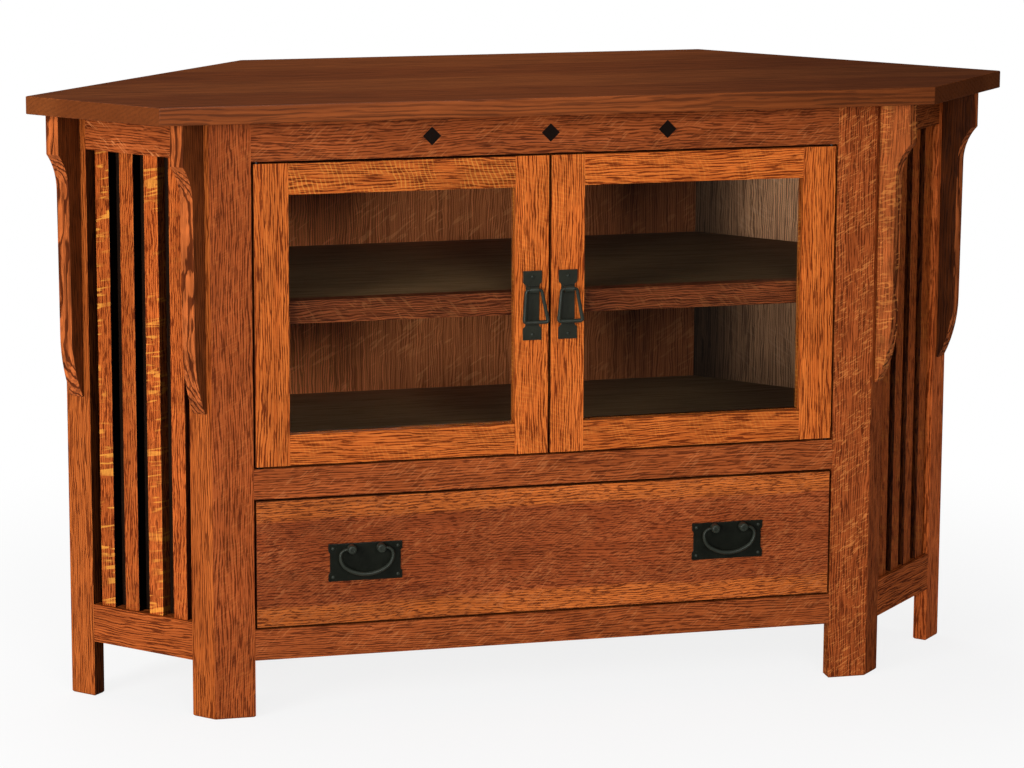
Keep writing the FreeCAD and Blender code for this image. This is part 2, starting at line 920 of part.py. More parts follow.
def drawer_sides():
    """Both sides, each with a sliding dovetail in front and a row of tails behind."""
    x = (box_half - drawer_side_thickness, box_half)
    shoulder = box_back_y - drawer_side_thickness
    above = box(x, (face_back_y, shoulder), (box_low, box_high))
    below = box(x, (shoulder, box_back_y), (box_low, groove_high))
    tongue = sliding_dovetail(box_low, box_high)
    step = (box_high - groove_high) / tail_count
    tails = [drawer_tail(groove_high + n * step, groove_high + (n + 1) * step) for n in range(tail_count)]
    shape = above.multiFuse([below, tongue] + tails)
    return both(shape.cut(drawer_bottom()).removeSplitter())


def drawer_bottom():
    """Plywood bottom, held in grooves of the front and sides, and running under the back."""
    half = box_half - drawer_side_thickness + drawer_groove_depth
    y = (face_back_y - drawer_groove_depth, box_back_y)
    return box((-half, half), y, (groove_low, groove_high))


def drawer_back():
    shoulder = box_back_y - drawer_side_thickness
    shape = box((-box_half, box_half), (shoulder, box_back_y), (groove_high, box_high))
    for side in drawer_sides():
        shape = shape.cut(side)
    return shape


# Runners, drawn for the right side, each member a channel that opens towards the drawer
runner_y = (face_back_y + runner_setback, box_back_y - runner_end_gap)
runner_middle_z = (box_low + box_high) / 2


def channel(web_x, lip_end, height_over_all):
    """Channel with its web upright and two lips turned towards the drawer or away from it."""
    side = 1 if lip_end > web_x else -1
    z_low = runner_middle_z - height_over_all / 2
    z_high = runner_middle_z + height_over_all / 2
    web = box((web_x, web_x + side * runner_wall), runner_y, (z_low, z_high))
    lips = [
        box((web_x, lip_end), runner_y, (z_low, z_low + runner_wall)),
        box((web_x, lip_end), runner_y, (z_high - runner_wall, z_high)),
    ]
    return web.multiFuse(lips).removeSplitter()


middle_height = runner_height - 2 * (runner_wall + runner_clearance)
inner_height = middle_height - 2 * (runner_wall + runner_clearance)
middle_web = opening_half - runner_wall - runner_clearance


def case_runner():
    return channel(opening_half, opening_half - runner_lip - runner_wall, runner_height)


def middle_runner():
    return channel(middle_web, middle_web - runner_lip, middle_height)


def drawer_runner():
    return channel(box_half, box_half + runner_lip, inner_height)


# Drawer pulls, drawn on the middle plane and moved to their places
plate_face = face_y - plate_thickness
plate_middle = drawer_low + plate_lift
post_z = plate_middle + post_rise
post_end_y = plate_face - post_stem_length - post_head_length
bail_y = plate_face - post_stem_length - post_head_length / 2
pull_places = (-pull_pitch / 2, pull_pitch / 2)


def shifted(shape, x):
    placed = shape.copy()
    placed.translate(FreeCAD.Vector(x, 0, 0))
    return placed


def drawer_pull_plates():
    """Iron back plates whose ends are drawn in a little between their corners."""
    half = plate_width / 2
    low = plate_middle - plate_height / 2
    high = plate_middle + plate_height / 2
    right = [
        (half, low),
        (half, low + plate_corner_height),
        (half - plate_notch, low + plate_corner_height + plate_shoulder),
        (half - plate_notch, high - plate_corner_height - plate_shoulder),
        (half, high - plate_corner_height),
        (half, high),
    ]
    left = [(-x, z) for x, z in reversed(right)]
    plate = slab(right + left, plate_face, face_y)
    return [shifted(plate, x) for x in pull_places]


bail_arm = post_pitch / 2
bail_bore_depth = post_radius + post_stem_radius / 2


def drawer_pull_posts():
    """Round-headed posts, each bored from its outer side for the end of the bail."""
    posts = []
    for x in (-bail_arm, bail_arm):
        stem = rod(post_stem_radius, (x, plate_face, post_z), (0, -1, 0), post_stem_length)
        head = rod(post_radius, (x, plate_face - post_stem_length, post_z), (0, -1, 0), post_head_length)
        front = plate_face - post_stem_length - post_head_length
        rim = [edge for edge in head.Edges if near(edge.CenterOfMass.y, front)]
        head = head.makeFillet(post_head_round, rim)
        dimple = rod(post_dimple_radius, (x, front, post_z), (0, 1, 0), post_dimple_depth)
        side = 1 if x > 0 else -1
        bore_start = (x + side * post_radius + side * overrun, bail_y, post_z)
        bore = rod(bail_wire + running_clearance, bore_start, (-side, 0, 0), bail_bore_depth + overrun)
        posts.append(stem.fuse(head).cut(dimple).cut(bore))
    return [shifted(post, x) for x in pull_places for post in posts]


def drawer_pull_nails():
    x_reach = plate_width / 2 - nail_inset
    z_reach = plate_height / 2 - nail_inset
    nails = []
    for middle in pull_places:
        for x in (middle - x_reach, middle + x_reach):
            for z in (plate_middle - z_reach, plate_middle + z_reach):
                nails.append(dome(x, z, plate_face, nail_radius, nail_rise))
    return nails


def drawer_bail():
    """Bail of round bar: an end in each post, a bend, a fuller side curve and a flat bottom bow."""
    tip = bail_arm + post_radius - bail_bore_depth + bail_end_gap
    bend_start = bail_arm + post_radius + bail_end_gap
    half = bail_width / 2
    bend = half - bend_start
    turn = math.radians(bail_side_turn)
    side_low = post_z - bend - bail_side_radius * math.sin(turn)
    side_x = half - bail_side_radius * (1 - math.cos(turn))
    bow_radius = side_x / math.cos(turn)
    bottom_z = side_low - bow_radius * (1 - math.sin(turn))
    bow_turn = (math.pi / 2 + turn) / 2

    def spot(x, z):
        return FreeCAD.Vector(x, bail_y, z)

    corner_mid = spot(bend_start + bend * math.sin(math.pi / 4), post_z - bend * (1 - math.cos(math.pi / 4)))
    side_mid = spot(
        half - bail_side_radius * (1 - math.cos(turn / 2)),
        post_z - bend - bail_side_radius * math.sin(turn / 2),
    )
    bow_mid = spot(
        bow_radius * math.cos(bow_turn),
        bottom_z + bow_radius * (1 - math.sin(bow_turn)),
    )
    edges = [
        Part.LineSegment(spot(tip, post_z), spot(bend_start, post_z)).toShape(),
        Part.Arc(spot(bend_start, post_z), corner_mid, spot(half, post_z - bend)).toShape(),
        Part.Arc(spot(half, post_z - bend), side_mid, spot(side_x, side_low)).toShape(),
        Part.Arc(spot(side_x, side_low), bow_mid, spot(0.0, bottom_z)).toShape(),
    ]
    right = swept(edges, bail_wire)
    return right.fuse(mirrored(right)).removeSplitter()


def front_top_rail():
    shape = drilled(front_rail(front_rail_spans["front_top_rail"]), all_pivot_pins(), 0.0)
    for inlay in diamond_inlays():
        shape = shape.cut(inlay)
    return shape


def front_middle_rail():
    return drilled(front_rail(front_rail_spans["front_middle_rail"]), all_pivot_pins(), 0.0)


def pieces():
    """Every node's name with its solids."""
    nodes = {
        "top_panel": [top_panel()],
        "front_top_rail": [front_top_rail()],
        "front_middle_rail": [front_middle_rail()],
        "front_bottom_rail": [front_rail(front_rail_spans["front_bottom_rail"])],
        "diamond_inlays": diamond_inlays(),
        "side_top_rails": both(side_rail("side_top_rails")),
        "side_bottom_rails": both(side_rail("side_bottom_rails")),
        "side_panels": both(side_panel()),
        "front_corbels": both(corbel(side_front_stile_width / 2)),
        "rear_corbels": both(corbel(body_side_length - side_rear_stile_width / 2)),
        "back_side_panels": both(back_side_panel()),
        "back_centre_panel": [back_centre_panel()],
        "back_legs": both(back_leg()),
        "compartment_floor": [deck(deck_bottom, floor_top)],
        "cabinet_bottom": [cabinet_bottom()],
        "shelf": [shelf()],
        "shelf_nosing": [shelf_nosing()],
        "shelf_cleats": shelf_cleats(),
        "top_cleats": top_cleats(),
        "drawer_partitions": both(drawer_partition()),
        "hinge_pins": hinge_pins(),
        "door_catches": both(door_catch()),
        "case_runners": both(case_runner()),
        "middle_runners": both(middle_runner()),
        "drawer_runners": both(drawer_runner()),
        "drawer_front": [drawer_front()],
        "drawer_sides": drawer_sides(),
        "drawer_back": [drawer_back()],
        "drawer_bottom": [drawer_bottom()],
        "drawer_pull_plates": drawer_pull_plates(),
        "drawer_pull_posts": drawer_pull_posts(),
        "drawer_pull_nails": drawer_pull_nails(),
        "drawer_bail_left": [shifted(drawer_bail(), pull_places[0])],
        "drawer_bail_right": [shifted(drawer_bail(), pull_places[1])],
    }
    right_hand = {
        "front_stile": [front_stile()],
        "side_front_stile": [side_front_stile()],
        "side_rear_stile": [side_rear_stile()],
        "side_slats": side_slats(),
        "door_hinge_stile": [door_hinge_stile()],
        "door_meeting_stile": [door_meeting_stile()],
        "door_rails": door_rails(),
        "door_glass": [door_glass()],
        "door_glass_stops": door_glass_stops(),
        "door_strike": [door_strike()],
        "door_pull_plate": [door_pull_plate()],
        "door_pull_screws": door_pull_screws(),
        "door_pull_drop": [door_pull_drop()],
    }
    for name, solids in right_hand.items():
        nodes[name + "_right"] = solids
        nodes[name + "_left"] = [mirrored(solid) for solid in solids]
    return nodes


os.makedirs("parts", exist_ok=True)
for name, solids in pieces().items():
    shape = solids[0] if len(solids) == 1 else Part.makeCompound(solids)
    shape.exportStep("parts/" + name + ".step")
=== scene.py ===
import json
import math

import bmesh
import bpy
import numpy as np
from mathutils import Matrix, Vector

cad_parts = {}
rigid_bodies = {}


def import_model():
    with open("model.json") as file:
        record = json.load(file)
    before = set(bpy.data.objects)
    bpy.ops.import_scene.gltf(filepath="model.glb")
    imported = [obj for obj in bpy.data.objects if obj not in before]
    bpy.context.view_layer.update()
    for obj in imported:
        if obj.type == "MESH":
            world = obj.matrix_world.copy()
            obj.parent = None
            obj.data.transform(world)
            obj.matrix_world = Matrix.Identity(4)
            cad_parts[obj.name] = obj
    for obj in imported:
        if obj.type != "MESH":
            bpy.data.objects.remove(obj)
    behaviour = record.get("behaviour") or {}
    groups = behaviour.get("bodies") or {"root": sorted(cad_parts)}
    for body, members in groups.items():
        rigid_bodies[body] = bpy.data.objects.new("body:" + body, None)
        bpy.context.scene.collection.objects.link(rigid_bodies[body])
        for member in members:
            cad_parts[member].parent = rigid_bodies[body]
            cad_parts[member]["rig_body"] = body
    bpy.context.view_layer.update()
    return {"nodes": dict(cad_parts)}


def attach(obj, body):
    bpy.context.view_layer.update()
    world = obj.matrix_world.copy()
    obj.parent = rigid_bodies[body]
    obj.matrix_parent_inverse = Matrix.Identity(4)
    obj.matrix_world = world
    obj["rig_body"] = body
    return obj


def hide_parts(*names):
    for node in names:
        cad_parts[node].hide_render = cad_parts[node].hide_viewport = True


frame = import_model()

# Looks of a corner cabinet in stained quarter-sawn oak with blackened iron pulls and clear glass.
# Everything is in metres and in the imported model's frame: +X right, +Y back, +Z up. The sizes of
# patterns, eased arrises and ironwork are given in millimetres.

MM = 0.001


def place_object(name, data):
    """A new object for a mesh, a lamp or a camera, in the scene."""
    made = bpy.data.objects.new(name, data)
    bpy.context.scene.collection.objects.link(made)
    return made


# Shader helpers

WHITE = (1.0, 1.0, 1.0, 1.0)
SMOOTH = {"interpolation_type": "SMOOTHSTEP"}
# A Mix node takes its share at socket 0, numbers at 2 and 3, and colours at 6 and 7
MIX_COLOURS = {"data_type": "RGBA", "out": 2}


def linear(code):
    """Linear colour of an sRGB hex code: each channel c is c / 12.92 up to 0.04045 and
    ((c + 0.055) / 1.055) to the power 2.4 above it."""
    parts = [int(code[i:i + 2], 16) / 255 for i in (1, 3, 5)]
    return [c / 12.92 if c <= 0.04045 else ((c + 0.055) / 1.055) ** 2.4 for c in parts] + [1.0]


def add(tree, kind, inputs=None, out=0, **settings):
    """Adds one shader node with its settings, fills its sockets with values or with other nodes'
    outputs, and gives one of its outputs."""
    made = tree.nodes.new("ShaderNode" + kind)
    for key, value in settings.items():
        setattr(made, key, value)
    for key, value in (inputs or {}).items():
        if isinstance(value, bpy.types.NodeSocket):
            tree.links.new(value, made.inputs[key])
        else:
            made.inputs[key].default_value = value
    return made.outputs[out] if len(made.outputs) else made


def spots(tree, place, size, turn=0.0, detail=1.0, curl=0.0):
    """Soft random spots of a real size in millimetres on three axes, after a turn about the third
    in degrees, curled more or less."""
    real = [length * MM for length in size]
    inputs = {"Vector": place, "Rotation": (0.0, 0.0, math.radians(turn)), "Scale": real}
    fitted = add(tree, "Mapping", inputs, vector_type="TEXTURE")
    inputs = {"Vector": fitted, "Scale": 1.0, "Detail": detail, "Roughness": 0.55}
    return add(tree, "TexNoise", {**inputs, "Distortion": curl})


def rise(value, low, high, first=0.0, last=1.0):
    """Sockets of a Map Range node that goes from first to last as a value goes from low to high."""
    return {"Value": value, "From Min": low, "From Max": high, "To Min": first, "To Max": last}


def start_material(name):
    """A new material, and its node tree, emptied."""
    material = bpy.data.materials.new(name)
    material.use_nodes = True
    material.node_tree.nodes.clear()
    return material, material.node_tree


# Woods. The patterns read the attributes that give_grain stores: a place in the board in metres,
# the same as shares of its length, width and thickness, and what kind of face it is.

ALONG, ACROSS = 0, 1


def bent_grain(tree, grain, ripple):
    """The place in the board, shifted sideways, so that the grain wanders by up to 14 mm over
    250 mm of board and ripples by up to 4 mm times the ripple over 30 mm."""
    slow = spots(tree, grain, (250, 60, 60))
    wander = add(tree, "Math", {0: slow, 1: 14 * MM}, operation="MULTIPLY")
    inputs = {0: spots(tree, grain, (30, 16, 16)), 1: 4 * ripple * MM, 2: wander}
    shift = add(tree, "Math", inputs, operation="MULTIPLY_ADD")
    sideways = add(tree, "CombineXYZ", {1: shift, 2: shift})
    return add(tree, "VectorMath", {0: grain, 1: sideways}, operation="ADD")


def ring_lines(tree, bent, width, way, bend, edge):
    """Growth rings: lines along the board, a ring's width apart along a way across it, that bend
    and drift with soft noise. A line is the crest of a sine wave: it fades in from the first of
    the edge's levels to the second."""
    reach = add(tree, "VectorMath", {0: bent, 1: way}, out="Value", operation="DOT_PRODUCT")
    noise = spots(tree, bent, (90, 9, 9), detail=2.0)
    drift = add(tree, "Math", {0: noise, 1: bend}, operation="MULTIPLY")
    inputs = {0: reach, 1: 2 * math.pi / (width * MM), 2: drift}
    turns = add(tree, "Math", inputs, operation="MULTIPLY_ADD")
    wave = add(tree, "Math", {0: turns}, operation="SINE")
    return add(tree, "MapRange", rise(wave, *edge), **SMOOTH)


def ray_bands(tree, grain, strength, width, turn, swings):
    """Rays cut lengthwise: patches of pale bands, a width apart along a way that is turned from the
    board's length by some degrees and leans into its thickness, and swinging to and fro."""
    angle = math.radians(turn)
    lean = 0.25
    way = (math.cos(angle), math.sin(angle), lean)
    reach = add(tree, "VectorMath", {0: grain, 1: way}, out="Value", operation="DOT_PRODUCT")
    turns = add(tree, "Math", {0: reach, 1: 2 * math.pi / (width * MM)}, operation="MULTIPLY")
    swing = spots(tree, grain, (40, 34, 34), detail=2.0)
    turns = add(tree, "Math", {0: swing, 1: swings, 2: turns}, operation="MULTIPLY_ADD")
    wave = add(tree, "Math", {0: turns}, operation="SINE")
    line = add(tree, "MapRange", rise(wave, 0.2, 0.98), **SMOOTH)
    patch = spots(tree, grain, (34, 26, 26))
    patch = add(tree, "MapRange", rise(patch, 0.36, 0.6, last=strength), **SMOOTH)
    return add(tree, "Math", {0: line, 1: patch}, operation="MULTIPLY")


def ray_flecks(tree, grain, strength, size, turn, curl=0.3, level=0.55, gap=0.36):
    """Rays cut short: patches of pale flecks of one length and width, that lean over the grain by
    some degrees and curl. A lower level gives more flecks, and a lower gap more patches."""
    speck = spots(tree, grain, (size[0], size[1], size[1]), turn, curl=curl)
    line = add(tree, "MapRange", rise(speck, level, level + 0.1), **SMOOTH)
    patch = spots(tree, grain, (46, 30, 30))
    patch = add(tree, "MapRange", rise(patch, gap, gap + 0.2, last=strength), **SMOOTH)
    return add(tree, "Math", {0: line, 1: patch}, operation="MULTIPLY")


def joined_strips(tree, grain, shares, strips):
    """Where a piece is glued up from boards: 1 in the strips of its width that are given as shares
    from low to high. A strip's edges are soft and wander by a twentieth of the width either way."""
    noise = spots(tree, grain, (160, 400, 400))
    wander = add(tree, "MapRange", rise(noise, 0.0, 1.0, -0.05, 0.05))
    across = add(tree, "Math", {0: shares[ACROSS], 1: wander}, operation="ADD")
    soft = 0.02
    inside = 0.0
    for low, high in strips:
        up = add(tree, "MapRange", rise(across, low - soft, low + soft), **SMOOTH)
        down = add(tree, "MapRange", rise(across, high - soft, high + soft, 1.0, 0.0))
        inside = add(tree, "Math", {0: up, 1: down, 2: inside}, operation="MULTIPLY_ADD")
    return inside


def stained_oak(
    name,
    light,
    dark,
    pore,
    ray=None,
    streak=0.7,
    dash=(36.0, 1.7),
    dash_share=0.8,
    ripple=0.8,
    rings=0.8,
    ring_mm=2.5,
    ring_way=(0.0, 0.8, 0.6),
    ring_bend=7.0,
    ring_edge=(-0.1, 0.75),
    calm=0.0,
    bands=None,
    flecks=None,
    clouds=0.16,
    cloud_mm=(90.0, 30.0),
    roughness=0.42,
    coat=0.02,
    strips=(),
    strip_colour=None,
    fades=(),
    fade_behind=True,
    rear_shift=(0.0, 0.0),
):
    """Oak, sawn on the quarter, stained and lacquered. The eye sees straight grain along the board,
    open pores that hold the stain as dark dashes, and rays that cross the grain as pale bands or
    short flecks. A real pore is 0.3 mm wide, too fine to show, so the dashes stand for rows of
    pores and are drawn about 1.5 mm wide.

    The colours are those of the early wood, the growth lines, the pores, the rays and the joined
    strips. Streak is the strength of the growth lines, which calm weakens on the broad faces. Dash
    is the length and the width of the pores' dashes, and the dash share their strength. Each fade
    changes the tone along or across the board: its axis, the shares of the board between which it
    lies, and its first and last gain. The rear shift is added to the rear faces' hue and
    saturation."""
    material, tree = start_material(name)
    grain = add(tree, "Attribute", out="Vector", attribute_name="grain")
    place = add(tree, "Attribute", out="Vector", attribute_name="share")
    shares = add(tree, "SeparateXYZ", {0: place}).node.outputs
    tone = add(tree, "Attribute", out="Fac", attribute_name="tone")
    figure = add(tree, "Attribute", out="Fac", attribute_name="figure")
    end = add(tree, "Attribute", out="Fac", attribute_name="end_grain")
    broad = add(tree, "Attribute", out="Fac", attribute_name="broad_face")
    behind = add(tree, "Attribute", out="Fac", attribute_name="rear_face")

    # Growth lines, and long soft fibres between them, all weaker on end grain. The noise of spots
    # lies about 0.5, so a step there covers half of the board and one above it less.
    bent = bent_grain(tree, grain, ripple)
    line = ring_lines(tree, bent, ring_mm, ring_way, ring_bend, ring_edge)
    fibre = spots(tree, bent, (220, 3.0, 6.0), detail=2.0)
    fibres = add(tree, "MapRange", rise(fibre, 0.38, 0.62, last=0.6), **SMOOTH)
    inputs = {0: line, 1: rings, 2: fibres}
    late = add(tree, "Math", inputs, operation="MULTIPLY_ADD", use_clamp=True)
    plain = add(tree, "Math", {0: end, 1: -0.7, 2: 1.0}, operation="MULTIPLY_ADD")
    plain = add(tree, "Math", {0: broad, 1: -calm, 2: plain}, operation="MULTIPLY_ADD")
    late = add(tree, "Math", {0: late, 1: plain}, operation="MULTIPLY")
    pale = linear(light)
    if strips:
        joined = joined_strips(tree, grain, shares, strips)
        pale = add(tree, "Mix", {0: joined, 6: pale, 7: linear(strip_colour)}, **MIX_COLOURS)
    depth = add(tree, "Math", {0: late, 1: streak}, operation="MULTIPLY")
    colour = add(tree, "Mix", {0: depth, 6: pale, 7: linear(dark)}, **MIX_COLOURS)

    # Pores: dark dashes of one length and width, most of them in the growth lines
    length, width = dash
    row = spots(tree, bent, (length, width, width * 1.6), detail=2.0)
    crowd = add(tree, "Math", {0: line, 1: 0.1, 2: row}, operation="MULTIPLY_ADD")
    pores = add(tree, "MapRange", rise(crowd, 0.54, 0.62), **SMOOTH)

    # Rays, which have few pores
    rays = [ray_bands(tree, grain, **bands)] if bands else []
    rays += [ray_flecks(tree, grain, **flecks)] if flecks else []
    if rays:
        strongest = add(tree, "Math", {0: rays[0], 1: rays[-1]}, operation="MAXIMUM")
        shown = add(tree, "Math", {0: strongest, 1: figure}, operation="MULTIPLY")
        colour = add(tree, "Mix", {0: shown, 6: colour, 7: linear(ray)}, **MIX_COLOURS)
        kept = add(tree, "Math", {0: shown, 1: -0.75, 2: 1.0}, operation="MULTIPLY_ADD")
        pores = add(tree, "Math", {0: pores, 1: kept}, operation="MULTIPLY")

    # End grain drinks the stain evenly, so it is darker and shows few dashes
    inputs = {0: end, 1: -0.8 * dash_share, 2: dash_share}
    strength = add(tree, "Math", inputs, operation="MULTIPLY_ADD")
    dashes = add(tree, "Math", {0: pores, 1: strength}, operation="MULTIPLY")
    inputs = {0: end, 1: 0.3, 2: dashes}
    stain = add(tree, "Math", inputs, operation="MULTIPLY_ADD", use_clamp=True)
    colour = add(tree, "Mix", {0: stain, 6: colour, 7: linear(pore)}, **MIX_COLOURS)

    # The stain takes unevenly, in clouds, and each face's level is 1 plus the tone stored for it,
    # which holds each board's own tone and, on some boards and faces, painted shade and light
    cloud = spots(tree, grain, (cloud_mm[0], cloud_mm[1], cloud_mm[1]), detail=2.0)
    inputs = {0: cloud, 1: 4 * clouds, 2: 1.0 - 2 * clouds}
    level = add(tree, "Math", inputs, operation="MULTIPLY_ADD")
    level = add(tree, "Math", {0: tone, 1: level, 2: level}, operation="MULTIPLY_ADD")
    for axis, low, high, first, last in fades:
        gain = add(tree, "MapRange", rise(shares[axis], low, high, first, last), **SMOOTH)
        if not fade_behind:
            gain = add(tree, "Mix", {0: behind, 2: gain, 3: 1.0})
        level = add(tree, "Math", {0: level, 1: gain}, operation="MULTIPLY")
    inputs = {"Value": level, "Color": colour}
    for socket, shift, unchanged in zip(("Hue", "Saturation"), rear_shift, (0.5, 1.0)):
        if shift:
            shifted = {0: behind, 1: shift, 2: unchanged}
            inputs[socket] = add(tree, "Math", shifted, operation="MULTIPLY_ADD")
    colour = add(tree, "HueSaturation", inputs)

    # The lacquer sinks into the pores, which stay a little open and dull
    relief = add(tree, "Math", {0: pores, 1: -1.0}, operation="MULTIPLY")
    bump = add(tree, "Bump", {"Height": relief, "Distance": 0.15 * MM, "Strength": 0.6})
    rough = add(tree, "Math", {0: pores, 1: 0.12, 2: roughness}, operation="MULTIPLY_ADD")
    inputs = {"Base Color": colour, "Roughness": rough, "Normal": bump}
    lacquer = {"Specular IOR Level": 0.07, "Coat Weight": coat, "Coat Roughness": 0.2}
    surface = add(tree, "BsdfPrincipled", {**inputs, "IOR": 1.5, **lacquer})
    add(tree, "OutputMaterial", {0: surface})
    return material


def sealed_maple():
    """Maple, planed and sealed but not stained: a pale even wood with faint brown streaks."""
    material, tree = start_material("sealed_maple")
    grain = add(tree, "Attribute", out="Vector", attribute_name="grain")
    end = add(tree, "Attribute", out="Fac", attribute_name="end_grain")
    fibre = spots(tree, grain, (140, 3.0, 6.0), detail=4.0)
    cloud = spots(tree, grain, (180, 40, 40), detail=2.0)
    share = add(tree, "Math", {0: fibre, 1: 0.7, 2: cloud}, operation="MULTIPLY_ADD")
    share = add(tree, "MapRange", rise(share, 0.65, 1.1), **SMOOTH)
    streaks = {0: share, 6: linear("#d2b286"), 7: linear("#ae875a")}
    colour = add(tree, "Mix", streaks, **MIX_COLOURS)
    shade = add(tree, "Math", {0: end, 1: 0.35}, operation="MULTIPLY")
    colour = add(tree, "Mix", {0: shade, 6: colour, 7: linear("#8a6844")}, **MIX_COLOURS)
    bump = add(tree, "Bump", {"Height": fibre, "Distance": 0.08 * MM, "Strength": 0.4})
    inputs = {"Base Color": colour, "Roughness": 0.5, "Normal": bump, "IOR": 1.5}
    add(tree, "OutputMaterial", {0: add(tree, "BsdfPrincipled", inputs)})
    return material


def ebonised_maple():
    """Maple dyed near black and lacquered with the rail: almost no grain, a soft shine."""
    material, tree = start_material("ebonised_maple")
    grain = add(tree, "Attribute", out="Vector", attribute_name="grain")
    fibre = spots(tree, grain, (20, 1.2, 1.2), detail=2.0)
    streaks = {0: fibre, 6: linear("#0c0705"), 7: linear("#190f0a")}
    colour = add(tree, "Mix", streaks, **MIX_COLOURS)
    inputs = {"Base Color": colour, "Roughness": 0.3, "IOR": 1.5, "Specular IOR Level": 0.12}
    add(tree, "OutputMaterial", {0: add(tree, "BsdfPrincipled", inputs)})
    return material


# Metals, nylon and glass, which read Object coordinates

def blackened_iron(name, dark, light, roughness):
    """Wrought iron, hammered cold, oil-blackened and waxed: near black with a green cast, broad
    shallow hammer marks 5 mm wide, and a fine grit left by the scale, drawn 0.8 mm wide."""
    material, tree = start_material(name)
    place = add(tree, "TexCoord", out="Object")
    marks = spots(tree, place, (5.0, 5.0, 5.0))
    grit = spots(tree, place, (0.8, 0.8, 0.8), detail=2.0)
    cloud = spots(tree, place, (15.0, 15.0, 15.0), detail=2.0)
    colour = add(tree, "Mix", {0: cloud, 6: linear(dark), 7: linear(light)}, **MIX_COLOURS)
    height = add(tree, "Math", {0: grit, 1: 0.2, 2: marks}, operation="MULTIPLY_ADD")
    bump = add(tree, "Bump", {"Height": height, "Distance": 0.5 * MM, "Strength": 0.5})
    rough = add(tree, "Math", {0: grit, 1: 0.12, 2: roughness}, operation="MULTIPLY_ADD")
    inputs = {"Base Color": colour, "Roughness": rough, "Normal": bump}
    wax = {"IOR": 1.5, "Specular IOR Level": 0.3}
    add(tree, "OutputMaterial", {0: add(tree, "BsdfPrincipled", {**inputs, **wax})})
    return material


def plated_steel(name, light, dark):
    """Cold-rolled steel, zinc plated: an even metal with fine drawing lines along the part, drawn
    0.8 mm wide."""
    material, tree = start_material(name)
    place = add(tree, "TexCoord", out="Object")
    lines = spots(tree, place, (0.8, 60.0, 0.8), detail=2.0)
    colour = add(tree, "Mix", {0: lines, 6: linear(light), 7: linear(dark)}, **MIX_COLOURS)
    rough = add(tree, "Math", {0: lines, 1: 0.15, 2: 0.24}, operation="MULTIPLY_ADD")
    inputs = {"Base Color": colour, "Roughness": rough, "Metallic": 1.0}
    add(tree, "OutputMaterial", {0: add(tree, "BsdfPrincipled", inputs)})
    return material


def moulded_nylon():
    """Nylon, injection moulded in brown: dull, with a fine spark-eroded grain 0.5 mm wide."""
    material, tree = start_material("moulded_brown_nylon")
    place = add(tree, "TexCoord", out="Object")
    grit = spots(tree, place, (0.5, 0.5, 0.5), detail=2.0)
    mottle = {0: grit, 6: linear("#3a2417"), 7: linear("#4b3020")}
    colour = add(tree, "Mix", mottle, **MIX_COLOURS)
    bump = add(tree, "Bump", {"Height": grit, "Distance": 0.05 * MM, "Strength": 0.4})
    inputs = {"Base Color": colour, "Roughness": 0.55, "Normal": bump, "IOR": 1.53}
    add(tree, "OutputMaterial", {0: add(tree, "BsdfPrincipled", inputs)})
    return material


def float_glass():
    """Float glass, 3 mm, polished: clear, with clean faint reflections that grow towards a low
    angle, alike on both faces: 0.04 plus 0.96 times the fifth power of 1 minus the cosine. Light
    passes straight through."""
    material, tree = start_material("clear_float_glass")
    place = add(tree, "TexCoord", out="Object")
    film = spots(tree, place, (90, 90, 90), detail=2.0)
    haze = add(tree, "MapRange", rise(film, 0.3, 0.8, last=0.01))
    gloss = add(tree, "BsdfGlossy", {"Color": WHITE, "Roughness": haze})
    clear = add(tree, "BsdfTransparent", {"Color": linear("#fafdfb")})
    slant = add(tree, "LayerWeight", {"Blend": 0.5}, out="Facing")
    fifth = add(tree, "Math", {0: slant, 1: 5.0}, operation="POWER")
    share = add(tree, "Math", {0: fifth, 1: 0.96, 2: 0.04}, operation="MULTIPLY_ADD")
    add(tree, "OutputMaterial", {0: add(tree, "MixShader", {0: share, 1: clear, 2: gloss})})
    return material


oak_top = stained_oak(
    "stained_oak_top_board", "#984e24", "#5a2911", "#42200d",
    streak=0.6, dash=(90.0, 2.0), dash_share=0.45, ripple=0.3,
    rings=0.45, ring_mm=4.6, ring_way=(0.004, 0.6, 0.8), ring_bend=3.0,
    clouds=0.08, roughness=0.38, coat=0.08,
    strips=((0.24, 0.5), (0.74, 2.0)), strip_colour="#a85a2b",
    fades=((ALONG, 0.15, 0.5, 0.7, 0.88), (ALONG, 0.5, 0.9, 1.0, 0.62)),
)
oak_rail = stained_oak(
    "stained_oak_rails", "#9a4d23", "#6f3010", "#451705", "#af683a",
    dash=(24.0, 1.5), ripple=0.6, rings=0.6,
    flecks={"strength": 0.45, "size": (2.2, 22.0), "turn": -50.0},
)
oak_nosing = stained_oak(
    "stained_oak_shelf_nosing", "#914826", "#511f0b", "#330f04", "#985932",
    streak=0.9, dash_share=0.6, ripple=1.2, ring_bend=9.0,
    flecks={"strength": 0.45, "size": (7.0, 36.0), "turn": 44.0, "curl": 1.6},
)
oak_bottom_rail = stained_oak(
    "stained_oak_side_bottom_rails", "#a45222", "#76310f", "#491804", dash_share=0.85,
)
oak_stile = stained_oak(
    "stained_oak_stiles", "#9d4d22", "#7a3410", "#4e1b05", "#bd7138",
    dash=(26.0, 1.5), dash_share=0.88, ripple=0.4, rings=0.6,
    flecks={"strength": 0.62, "size": (2.4, 15.0), "turn": -30.0, "curl": 1.5, "gap": 0.26},
)
oak_slat = stained_oak(
    "stained_oak_slats", "#b95d26", "#873610", "#521803", "#d48936",
    dash=(16.0, 1.7), cloud_mm=(26.0, 60.0),
    flecks={"strength": 0.75, "size": (6.0, 60.0), "turn": 12.0, "curl": 0.9, "level": 0.53},
)
